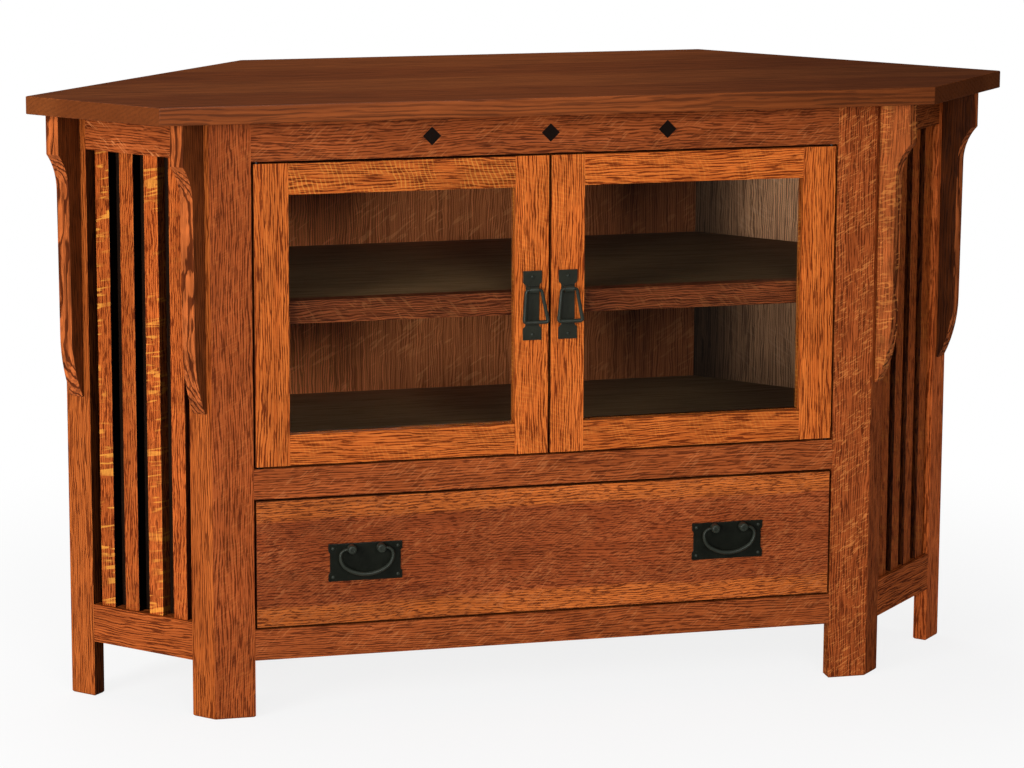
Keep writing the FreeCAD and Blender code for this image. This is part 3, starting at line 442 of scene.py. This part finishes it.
oak_side_stile = stained_oak(
    "stained_oak_side_stiles", "#b05c26", "#81370f", "#4f1b04", clouds=0.1,
)
oak_corbel = stained_oak(
    "stained_oak_corbels", "#b15b2a", "#4e1e08", "#331104", "#cb7a3a",
    streak=0.9, dash_share=0.5, ripple=0.7, calm=0.6, clouds=0.34, cloud_mm=(44.0, 22.0),
    rings=1.0, ring_mm=4.0, ring_way=(0.03, 0.95, 0.3), ring_bend=9.0, ring_edge=(0.35, 0.9),
    flecks={"strength": 0.5, "size": (5.0, 22.0), "turn": 12.0, "curl": 1.2, "level": 0.52},
)
oak_door = stained_oak(
    "stained_oak_doors", "#c7692a", "#a14514", "#5c1e03", "#e0963f",
    dash=(30.0, 1.4), dash_share=0.9, ripple=0.5, rings=0.6,
    bands={"strength": 0.5, "width": 5.5, "turn": 16.0, "swings": 14.0},
)
oak_drawer = stained_oak(
    "stained_oak_drawer_front", "#954721", "#6c2c10", "#471605", "#b16739",
    streak=0.6, dash=(12.0, 1.4), ripple=0.7, rings=0.5,
    bands={"strength": 0.32, "width": 3.6, "turn": -56.0, "swings": 9.0},
    flecks={"strength": 0.5, "size": (2.2, 12.0), "turn": -52.0, "curl": 0.6},
    strips=((-1.0, 0.16), (0.84, 2.0)), strip_colour="#c4672a",
    fades=((ALONG, 0.0, 0.8, 0.8, 1.04),),
)
panel_flecks = {"size": (6.0, 34.0), "turn": -35.0, "curl": 1.0}
# The plywood's fades paint shade and light on all but its rear faces: painted shade across one
# half, and painted light at the other end.
oak_ply = stained_oak(
    "stained_oak_faced_plywood", "#d77948", "#9d522a", "#632d11", "#fa9f64",
    dash=(110.0, 1.7), dash_share=0.6, clouds=0.08, coat=0.0, roughness=0.5,
    flecks={"strength": 0.35, **panel_flecks},
    fades=((ACROSS, 0.5, 1.0, 1.04, 0.36), (ACROSS, 0.05, 0.38, 2.1, 1.0)), fade_behind=False,
)
# The wall panels' inner faces are pale and greyish, a painted glow of light; their fades paint
# shade and light on all but their rear faces, and the rear shift makes the rear faces more
# saturated and a little redder.
oak_wall = stained_oak(
    "stained_oak_faced_wall_panels", "#dc9d75", "#a37156", "#5e3b2c", "#eeb694",
    dash=(110.0, 1.8), dash_share=0.7, clouds=0.08, coat=0.0, roughness=0.5,
    flecks={"strength": 0.2, **panel_flecks},
    fades=((ACROSS, 0.62, 0.94, 1.0, 0.1), (ALONG, 0.35, 0.95, 0.4, 1.5)), fade_behind=False,
    rear_shift=(-0.015, 0.25),
)
oak_deck = stained_oak(
    "stained_oak_faced_shelves", "#a17a58", "#7f5f3c", "#4f3818",
    streak=0.6, dash=(110.0, 2.4), dash_share=0.4, ripple=0.4,
    clouds=0.06, coat=0.0, roughness=0.55, fades=((ALONG, 0.4, 0.6, 1.0, 0.55),),
)
# The panels behind the slats are near black: painted shade in the recess behind the slats.
oak_shadow_panel = stained_oak(
    "oak_panels_painted_shade_black", "#140a06", "#0f0703", "#080301",
    dash_share=0.5, coat=0.0, roughness=0.6,
)
maple = sealed_maple()
ebony = ebonised_maple()
iron = blackened_iron("blackened_wrought_iron", "#090b07", "#1b1d16", 0.24)
# The door plates take a lighter iron as a painted sheen, and the posts, nails, screws, knuckles,
# bails and drops a lighter one still as a painted highlight.
painted_sheen_iron = blackened_iron("blackened_iron_painted_sheen", "#1c1d16", "#2a2b22", 0.3)
painted_highlight_iron = blackened_iron("blackened_iron_painted_highlight", "#20231d", "#31352d", 0.3)
bright_zinc = plated_steel("zinc_plated_steel", "#a4a6a8", "#c4c6c8")
black_zinc = plated_steel("black_zinc_plated_steel", "#2a2a2b", "#3c3c3d")
nylon = moulded_nylon()
glass = float_glass()


# Boards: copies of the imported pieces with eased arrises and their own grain

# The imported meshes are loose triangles: points closer than SAME_POINT are one, faces that meet at
# less than STILL_FLAT are one, and an edge turned by more than SHARP is seen as an edge
SAME_POINT = 0.002 * MM
STILL_FLAT = math.radians(0.6)
SHARP = math.radians(32.0)

# Directions of the boards that lie square in the cabinet and of those at 45 degrees
HALF = math.sqrt(0.5)
SQUARE_AXES = np.eye(3)
SLANTED_AXES = np.array([(HALF, HALF, 0.0), (-HALF, HALF, 0.0), (0.0, 0.0, 1.0)])

# Cosines past which a face belongs to its board's ends, its edges and its broad faces
TO_END, TO_EDGE, TO_BROAD = 0.6, 0.3, 0.9


def islands(count, edges):
    """Number of the connected part that each vertex is in: the lowest label passes along every
    edge until nothing changes."""
    label = np.arange(count)
    while True:
        low = np.minimum(label[edges[:, 0]], label[edges[:, 1]])
        passed = label.copy()
        np.minimum.at(passed, edges[:, 0], low)
        np.minimum.at(passed, edges[:, 1], low)
        passed = passed[passed]
        if (passed == label).all():
            return np.unique(label, return_inverse=True)[1]
        label = passed


def board_axes(points):
    """Directions along, across and through a board: of the square and the slanted axes, the set
    that boxes the points more tightly, by more than rounding, with its longest extent first and
    its shortest last."""
    boxes = [np.ptp(points @ axes.T, axis=0) for axes in (SQUARE_AXES, SLANTED_AXES)]
    pick = int(np.prod(boxes[1]) < np.prod(boxes[0]) * 0.999)
    return (SQUARE_AXES, SLANTED_AXES)[pick][np.argsort(-boxes[pick])]


def merged_copy(name, node):
    """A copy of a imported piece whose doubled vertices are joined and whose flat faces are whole
    again. Its sharp outer edges are marked as arrises, for ease."""
    mesh = frame["nodes"][node].data.copy()
    mesh.name = name
    mesh.materials.clear()
    work = bmesh.new()
    work.from_mesh(mesh)
    bmesh.ops.remove_doubles(work, verts=work.verts, dist=SAME_POINT)
    bmesh.ops.dissolve_limit(work, angle_limit=STILL_FLAT, verts=work.verts, edges=work.edges)
    arris = work.edges.layers.float.new("bevel_weight_edge")
    for edge in work.edges:
        edge[arris] = float(edge.is_convex and edge.calc_face_angle(0.0) > SHARP)
    work.to_mesh(mesh)
    work.free()
    mesh.shade_smooth()
    mesh.set_sharp_from_angle(angle=SHARP)
    return place_object(name, mesh)


def ease(piece, width_mm):
    """Rounds the piece's arrises with a live bevel, whose faces take the flat faces' shading."""
    bevel = piece.modifiers.new("eased_arrises", "BEVEL")
    bevel.width = width_mm * MM
    bevel.segments = 2
    bevel.limit_method = "WEIGHT"
    bevel.harden_normals = True


def read(items, name, width=1, kind=float):
    """One property of all of a mesh's vertices, edges, faces or face corners, as an array."""
    values = np.zeros(len(items) * width, kind)
    items.foreach_get(name, values)
    return values.reshape(-1, width) if width > 1 else values


def store(mesh, name, kind, domain, values):
    """Stores an array as an attribute of a mesh."""
    field = {"FLOAT": "value", "FLOAT_VECTOR": "vector"}[kind]
    made = mesh.attributes.new(name, kind, domain)
    made.data.foreach_set(field, np.asarray(values, np.float32).ravel())


def look(tone=0.0, rays=1.0, broad=0.0, low=0.0, high=0.0, ends=0.0, rear=0.0):
    """How one board differs from its finish: the tone above or below it, the share of its rays, and
    the tones added on its broad faces, on its edges on the low and on the high side, on its ends
    and on its rear face. Most of these tones are painted shade and light."""
    return tone, rays, broad, low, high, ends, rear


def give_grain(mesh, seed, looks):
    """Stores where each vertex lies in its own board: in metres along, across and through it from
    a start drawn for that board, and as shares of its box. Faces that cut the grain are marked as
    end grain, the board's two largest as broad, and the one of those that faces back as rear. The
    looks are those of the boards from left to right and then from low to high, and a board without
    one is plain."""
    count, faces = len(mesh.vertices), len(mesh.polygons)
    points = read(mesh.vertices, "co", 3)
    board = islands(count, read(mesh.edges, "vertices", 2, int))
    first = read(mesh.polygons, "loop_start", kind=int)
    face_board = board[read(mesh.loops, "vertex_index", kind=int)[first]]
    normals = read(mesh.polygons, "normal", 3)
    middles = np.array([points[board == number].mean(axis=0) for number in range(board.max() + 1)])
    # Boards whose middles lie within a centimetre from left to right are one above another
    order = np.lexsort((middles[:, 2], middles[:, 0].round(2)))
    draw = np.random.default_rng(seed)
    grain, place = np.zeros((2, count, 3))
    figure = np.ones(count)
    end, wide, back, tone = np.zeros((4, faces))
    for rank, number in enumerate(order):
        mine = board == number
        axes = board_axes(points[mine])
        local = points[mine] @ axes.T
        low, size = local.min(axis=0), np.ptp(local, axis=0)
        grain[mine] = local - low + draw.uniform(1.0, 4.0, 3)
        place[mine] = (local - low) / size
        own = looks[rank] if rank < len(looks) else look()
        base, figure[mine], on_broad, on_low, on_high, on_ends, on_rear = own
        shown = face_board == number
        along, across, through = axes @ normals[shown].T
        end[shown] = np.abs(along) > TO_END
        wide[shown] = np.abs(through) > TO_BROAD
        back[shown] = through > TO_BROAD
        edges = on_low * (across < -TO_EDGE) + on_high * (across > TO_EDGE)
        flat = on_broad * wide[shown] + on_rear * back[shown]
        tone[shown] = base + edges + on_ends * end[shown] + flat
    store(mesh, "grain", "FLOAT_VECTOR", "POINT", grain)
    store(mesh, "share", "FLOAT_VECTOR", "POINT", place)
    store(mesh, "figure", "FLOAT", "POINT", figure)
    store(mesh, "tone", "FLOAT", "FACE", tone)
    store(mesh, "end_grain", "FLOAT", "FACE", end)
    store(mesh, "broad_face", "FLOAT", "FACE", wide)
    store(mesh, "rear_face", "FLOAT", "FACE", back)


def put(piece, node, material):
    """Gives a piece its material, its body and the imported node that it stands
    for."""
    piece.data.materials.append(material)
    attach(piece, frame["nodes"][node]["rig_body"])
    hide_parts(node)


# Tones of faces at a gap, darkened almost to black as painted shade; of the slats' edges, darkened
# as painted shade between the slats; and of the panels' faces to the wall, which are darker than
# their inner faces, whose lighter tone is painted light
GAP = -0.74
SLAT_EDGE_SHADE = {"low": -0.92, "high": -0.92}
SHADED = {"low": -0.66, "high": -0.66}
TO_WALL = look(rear=-0.55)

# Each wooden node's finish, its record slot, the width of its eased arrises in millimetres, and the
# looks of its boards, from left to right and then from low to high
wooden = {
    "top_panel": (oak_top, "oak_top", 0.0, (look(ends=-0.15),)),
    "front_top_rail": (oak_rail, "oak_case", 0.4, (look(-0.05),)),
    "front_middle_rail": (oak_rail, "oak_case", 0.4, (look(0.08),)),
    "front_bottom_rail": (oak_rail, "oak_case", 0.6, (look(0.02),)),
    "diamond_inlays": (ebony, "ebony_inlay", 0.0, ()),
    "side_top_rails": (oak_rail, "oak_case", 0.0, (look(0.22, 2.2), look(-0.1))),
    "side_bottom_rails": (oak_bottom_rail, "oak_case", 0.6, (look(0.02), look(0.2))),
    # The near-black panels behind the slats are painted shade, lifted a little by their tones.
    "side_panels": (oak_shadow_panel, "plywood", 0.0, (look(1.6), look(1.8))),
    # The corbels' broad faces are darkened as painted shade, the rear ones most.
    "front_corbels": (
        oak_corbel, "oak_case", 0.8, (look(rays=0.0, broad=-0.6), look(0.12, 1.5, broad=-0.29)),
    ),
    "rear_corbels": (
        oak_corbel, "oak_case", 0.8, (look(rays=0.0, broad=-0.74), look(0.1, 0.0, broad=-0.93)),
    ),
    # The right wall panel's higher tone is a painted glow of light.
    "back_side_panels": (oak_wall, "plywood", 0.0, (TO_WALL, look(0.35, rear=-0.67))),
    "back_centre_panel": (oak_ply, "plywood", 0.0, (TO_WALL,)),
    "back_legs": (oak_rail, "oak_case", 0.6, ()),
    "compartment_floor": (oak_deck, "plywood", 0.0, (look(0.06),)),
    "cabinet_bottom": (oak_deck, "plywood", 0.0, ()),
    "shelf": (oak_deck, "plywood", 0.0, (look(-0.12),)),
    "shelf_nosing": (oak_nosing, "oak_case", 0.0, ()),
    "shelf_cleats": (maple, "secondary_wood", 0.5, ()),
    "top_cleats": (maple, "secondary_wood", 0.5, ()),
    "drawer_partitions": (oak_ply, "plywood", 0.3, ()),
    # The drawer front's edges and ends at the gap are darkened as painted shade.
    "drawer_front": (oak_drawer, "oak_drawer", 0.3, (look(low=GAP, high=GAP, ends=GAP),)),
    "drawer_sides": (maple, "secondary_wood", 0.4, ()),
    "drawer_back": (maple, "secondary_wood", 0.4, ()),
    "drawer_bottom": (maple, "plywood", 0.0, ()),
    "front_stile_left": (oak_stile, "oak_case", 0.5, (look(rays=0.3),)),
    "front_stile_right": (oak_stile, "oak_case", 0.5, (look(0.09, 1.2),)),
    "side_front_stile_left": (oak_side_stile, "oak_case", 0.5, ()),
    "side_front_stile_right": (oak_stile, "oak_case", 0.5, (look(rays=0.4),)),
    # The left rear stile's low edge is darkened as painted shade, and the right rear stile is
    # lightened as painted light.
    "side_rear_stile_left": (oak_side_stile, "oak_case", 0.5, (look(low=-0.85),)),
    "side_rear_stile_right": (oak_stile, "oak_case", 0.5, (look(0.85, 0.2),)),
    # The slats' edges are darkened as painted shade between them, and the right slats are darker
    # overall as painted shade.
    "side_slats_left": (
        oak_slat, "oak_case", 0.0,
        [look(*own, **SLAT_EDGE_SHADE) for own in ((-0.08, 1.4), (-0.15, 0.1), (0.08, 1.0), (0.0, 0.1))],
    ),
    "side_slats_right": (
        oak_slat, "oak_case", 0.0, [look(own, 0.2, **SHADED) for own in (-0.2, -0.25, -0.2, -0.2)],
    ),
}
# The doors' edges and ends at a gap are darkened as painted shade. A stile's low edge is its left
# one, and a rail's is its lower one.
for side, outer, inner, hinge_tone, top_rail in (
    ("left", "low", "high", -0.08, (-0.16, 1.0)),
    ("right", "high", "low", 0.06, (0.06, 0.3)),
):
    for part, eased, looks in (
        ("hinge_stile", 0.4, (look(hinge_tone, 0.1, ends=GAP, **{outer: GAP}),)),
        ("meeting_stile", 0.4, (look(0.12, 0.25, ends=GAP, **{inner: GAP}),)),
        ("rails", 0.4, (look(-0.05, 0.3, low=GAP), look(*top_rail, high=GAP))),
        ("glass_stops", 0.0, ()),
    ):
        wooden["door_" + part + "_" + side] = (oak_door, "oak_door", eased, looks)

# The boards' starts in the pattern are drawn from seeds 11, 12, 13 and so on, by the nodes' names
for seed, (node, (material, slot_name, eased, looks)) in enumerate(sorted(wooden.items()), 11):
    piece = merged_copy(node + "_board", node)
    give_grain(piece.data, seed, looks)
    if eased:
        ease(piece, eased)
    put(piece, node, material)


# Ironwork

# A bar is smooth all round, and only its cut ends meet its side at more than this angle
CUT_END = math.radians(60.0)
# Depth that only the door plates' knuckles pass
PLATE_FRONT = -197.6 * MM


def bow(middle, radius, start, end, count):
    """Points of an arc in a plane: middle plus radius times the cosine and sine of each angle, in
    degrees."""
    angle = np.radians(np.linspace(start, end, count))
    return np.array(middle) + radius * np.stack((np.cos(angle), np.sin(angle)), axis=1)


def forged_bar(name, path, depth, radii):
    """Round bar whose radius changes along a path that lies upright, at one depth. Each ring is the
    path's point plus its radius times the cosine of the angle along the path's own normal and the
    sine along Y. The rings are joined by four-sided faces and each end is closed by one face."""
    around = 20
    way = np.gradient(path, axis=0)
    way /= np.linalg.norm(way, axis=1)[:, None]
    normal = np.stack((way[:, 1], np.zeros(len(path)), -way[:, 0]), axis=1)
    centre = np.stack((path[:, 0], np.full(len(path), depth), path[:, 1]), axis=1)
    angle = (np.arange(around) * 2 * math.pi / around)[None, :, None]
    ring = np.cos(angle) * normal[:, None, :] + np.sin(angle) * np.array((0.0, 1.0, 0.0))
    points = (centre[:, None, :] + radii[:, None, None] * ring).reshape(-1, 3)
    last = (len(path) - 1) * around
    row, column = np.meshgrid(np.arange(0, last, around), np.arange(around), indexing="ij")
    after = (column + 1) % around
    corners = (row + column, row + after, row + after + around, row + column + around)
    faces = np.stack(corners, axis=-1).reshape(-1, 4).tolist()
    faces += [list(range(around - 1, -1, -1)), list(range(last, last + around))]
    mesh = bpy.data.meshes.new(name)
    mesh.from_pydata(points.tolist(), [], faces)
    mesh.shade_smooth()
    mesh.set_sharp_from_angle(angle=CUT_END)
    return place_object(name, mesh)


def drawer_bail(name, middle):
    """Forged bail, 3.2 mm thick at its ends and 5 mm at the bottom: out of its post, round a bend,
    down a fuller side and along a flat bottom bow. Its ends' height and reach and its depth are
    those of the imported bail. The radius grows from the ends by the sine of the share of the way
    times 180 degrees, to the power 1.5."""
    post_face, pivot, half, depth = 17.15, 208.6, 33.0, -204.94
    bend, side, turn = 8.65, 19.0, 55.0
    slope = math.radians(turn)
    low = pivot - bend - side * math.sin(slope)
    reach = half - side * (1 - math.cos(slope))
    flat = reach / math.cos(slope)
    arm = np.array([(post_face, pivot), (20.0, pivot), (23.0, pivot)])
    corner = bow((half - bend, pivot - bend), bend, 90.0, 0.0, 14)
    flank = bow((half - side, pivot - bend), side, 0.0, -turn, 16)
    bottom = bow((0.0, low + flat * math.sin(slope)), flat, -turn, -90.0, 18)
    right = np.concatenate((arm, corner, flank[1:], bottom[1:]))
    left = right[-2::-1] * (-1.0, 1.0)
    path = np.concatenate((right, left))
    share = np.linspace(0.0, 1.0, len(path))
    radii = 1.6 + 0.9 * np.sin(math.pi * share) ** 1.5
    return forged_bar(name, (path + (middle, 0.0)) * MM, depth * MM, radii * MM)


def rounded(corners, reach):
    """Points of a broken line with round corners: from one reach before each corner to one reach
    after it they are (1 - t) squared before + 2 t (1 - t) corner + t squared after, with t from 0
    to 1."""
    corners = np.array(corners)
    t = np.linspace(0.0, 1.0, 9)[:, None]
    parts = [corners[:1]]
    for before, corner, after in zip(corners, corners[1:], corners[2:]):
        first = corner + (before - corner) * reach / np.linalg.norm(before - corner)
        last = corner + (after - corner) * reach / np.linalg.norm(after - corner)
        parts.append((1 - t) ** 2 * first + 2 * t * (1 - t) * corner + t ** 2 * last)
    return np.concatenate(parts + [corners[-1:]])


def door_drop(name, middle, aside, slope):
    """Forged drop of a door, 4 mm thick above and 4.8 mm below: a ring narrow at the knuckle, where
    its two ends meet, and broad at the bottom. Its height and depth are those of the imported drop.
    It hangs a little aside and leans by a share of its height, except within 4 mm of its middle,
    where the knuckle holds it."""
    pivot, low, depth = 521.95, 481.6, -203.19
    top_half, low_half, bend, held = 9.6, 15.2, 3.6, 4.0
    right = [(0.6, pivot), (top_half, pivot), (low_half, low)]
    path = rounded(right + [(-x, height) for x, height in reversed(right)], bend)
    fall = pivot - path[:, 1]
    path[:, 0] += middle + (aside + slope * fall) * np.minimum(1.0, np.abs(path[:, 0]) / held)
    radii = 2.0 + 0.4 * fall / (pivot - low)
    return forged_bar(name, path * MM, depth * MM, radii * MM)


# Each iron node's finish and the width of its eased arrises in millimetres
iron_nodes = {
    "drawer_pull_plates": (iron, 0.7),
    "drawer_pull_posts": (painted_highlight_iron, 1.2),
    "drawer_pull_nails": (painted_highlight_iron, 0.0),
    "door_pull_plate_left": (painted_sheen_iron, 0.4),
    "door_pull_plate_right": (painted_sheen_iron, 0.4),
    "door_pull_screws_left": (painted_highlight_iron, 0.0),
    "door_pull_screws_right": (painted_highlight_iron, 0.0),
}
for node, (material, eased) in iron_nodes.items():
    piece = merged_copy(node + "_iron", node)
    if eased:
        ease(piece, eased)
    put(piece, node, material)
    if node.startswith("door_pull_plate"):
        # The knuckle takes the lighter iron, a painted highlight, and so stands out from the plate
        piece.data.materials.append(painted_highlight_iron)
        for face in piece.data.polygons:
            face.material_index = int(face.center.y < PLATE_FRONT)

# The bail's and the drop's middles, and how far the drop hangs aside and leans
for side, bail_middle, drop_middle, aside, slope in (
    ("left", -232.0, -22.5, 0.3, 0.08),
    ("right", 232.0, 22.5, 0.0, 0.05),
):
    bail = drawer_bail("forged_bail_" + side, bail_middle)
    put(bail, "drawer_bail_" + side, painted_highlight_iron)
    drop = door_drop("forged_drop_" + side, drop_middle, aside, slope)
    put(drop, "door_pull_drop_" + side, painted_highlight_iron)


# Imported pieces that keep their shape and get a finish

for node, material in {
    "door_glass_left": glass,
    "door_glass_right": glass,
    "door_strike_left": black_zinc,
    "door_strike_right": black_zinc,
    "hinge_pins": black_zinc,
    "case_runners": bright_zinc,
    "middle_runners": bright_zinc,
    "drawer_runners": bright_zinc,
    "door_catches": nylon,
}.items():
    mesh = frame["nodes"][node].data
    mesh.materials.clear()
    mesh.materials.append(material)


# Studio

def studio_floor():
    """Flat pale floor, 4.8 m across. The camera sees it as white paper that keeps a trace of the
    cabinet's shadow near it and turns to bare white 1.3 m out. In reflections it is dim, like the
    room."""
    near, far, near_white = 0.55, 1.3, 0.84
    side, front = 2.4, -1.5
    material, tree = start_material("white_studio_paper")
    mirrored = add(tree, "LightPath", out="Is Glossy Ray")
    shade = {0: mirrored, 6: linear("#f4f4f4"), 7: linear("#404040")}
    paper = add(tree, "BsdfDiffuse", {"Color": add(tree, "Mix", shade, **MIX_COLOURS)})
    white = add(tree, "Emission", {"Color": WHITE, "Strength": 1.0})
    place = add(tree, "TexCoord", out="Object")
    distance = add(tree, "VectorMath", {0: place}, out="Value", operation="LENGTH")
    share = add(tree, "MapRange", rise(distance, near, far, near_white, 1.0), **SMOOTH)
    seen = add(tree, "LightPath", out="Is Camera Ray")
    share = add(tree, "Math", {0: share, 1: seen}, operation="MULTIPLY")
    add(tree, "OutputMaterial", {0: add(tree, "MixShader", {0: share, 1: paper, 2: white})})
    corners = [(-side, front, 0.0), (side, front, 0.0), (side, side, 0.0), (-side, side, 0.0)]
    mesh = bpy.data.meshes.new("studio_floor")
    mesh.from_pydata(corners, [], [(0, 1, 2, 3)])
    mesh.materials.append(material)
    floor = place_object("studio_floor", mesh)


def studio_world():
    """Even grey light from all round. The camera sees it as white, also through glass, and in
    reflections the room is dim, as in the photograph, where neither the top nor the panes mirror a
    pale wall."""
    room, mirrored_room = 0.15, 0.02
    world = bpy.data.worlds.new("studio")
    world.use_nodes = True
    tree = world.node_tree
    tree.nodes.clear()
    camera = add(tree, "LightPath", out="Is Camera Ray")
    through = add(tree, "LightPath", out="Is Transmission Ray")
    mirrored = add(tree, "LightPath", out="Is Glossy Ray")
    seen = add(tree, "Math", {0: camera, 1: through}, operation="MAXIMUM")
    inputs = {0: mirrored, 1: mirrored_room - room, 2: room}
    dimmed = add(tree, "Math", inputs, operation="MULTIPLY_ADD")
    even = add(tree, "Background", {"Color": WHITE, "Strength": dimmed})
    white = add(tree, "Background", {"Color": WHITE, "Strength": 1.0})
    add(tree, "OutputWorld", {0: add(tree, "MixShader", {0: seen, 1: even, 2: white})})
    bpy.context.scene.world = world


def softbox(name, place, target, size, power, mirrored=True):
    """Square area lamp of a size in metres and a power in watts, at a place, aimed at a target.
    Glossy pieces mirror it or not."""
    lamp = bpy.data.lights.new(name, "AREA")
    lamp.size = size
    lamp.energy = power
    holder = place_object(name, lamp)
    holder.location = place
    holder.rotation_euler = (Vector(target) - Vector(place)).to_track_quat("-Z", "Y").to_euler()
    holder.visible_camera = False
    holder.visible_glossy = mirrored


def photo_camera():
    """Camera at the photograph's viewing angle, worked out from the corners seen in it. The image
    is taken to be 1024 pixels wide. Turn, drop and roll are in degrees."""
    image_width, focal_length, axis_above_middle = 1024, 3462.3, 123.0
    turn, drop, roll = 13.67, 10.08, 0.235
    camera = bpy.data.cameras.new("photo_camera")
    camera.sensor_width = 36.0
    camera.lens = focal_length / image_width * camera.sensor_width
    camera.shift_y = -axis_above_middle / image_width
    camera.clip_end = 100.0
    holder = place_object("photo_camera", camera)
    place = Matrix.Translation((-1.0329, -4.2440, 1.2984))
    turned = Matrix.Rotation(math.radians(-turn), 4, "Z")
    lowered = Matrix.Rotation(math.radians(90.0 - drop), 4, "X")
    rolled = Matrix.Rotation(math.radians(roll), 4, "Z")
    holder.matrix_world = place @ turned @ lowered @ rolled
    bpy.context.scene.camera = holder


studio_floor()
studio_world()
softbox("key_softbox", (-3.3, -2.3, 1.5), (0.0, -0.2, 0.4), 1.5, 100.0, mirrored=False)
softbox("front_softbox", (0.2, -5.0, 2.3), (0.0, -0.2, 0.4), 1.8, 70.0)
softbox("low_softbox", (-2.2, -4.2, 0.75), (0.2, 0.0, 0.5), 0.9, 75.0)
softbox("top_softbox", (-0.4, 0.6, 3.4), (0.0, 0.0, 0.6), 2.0, 44.0)
photo_camera()
bpy.context.scene.view_settings.view_transform = "Standard"
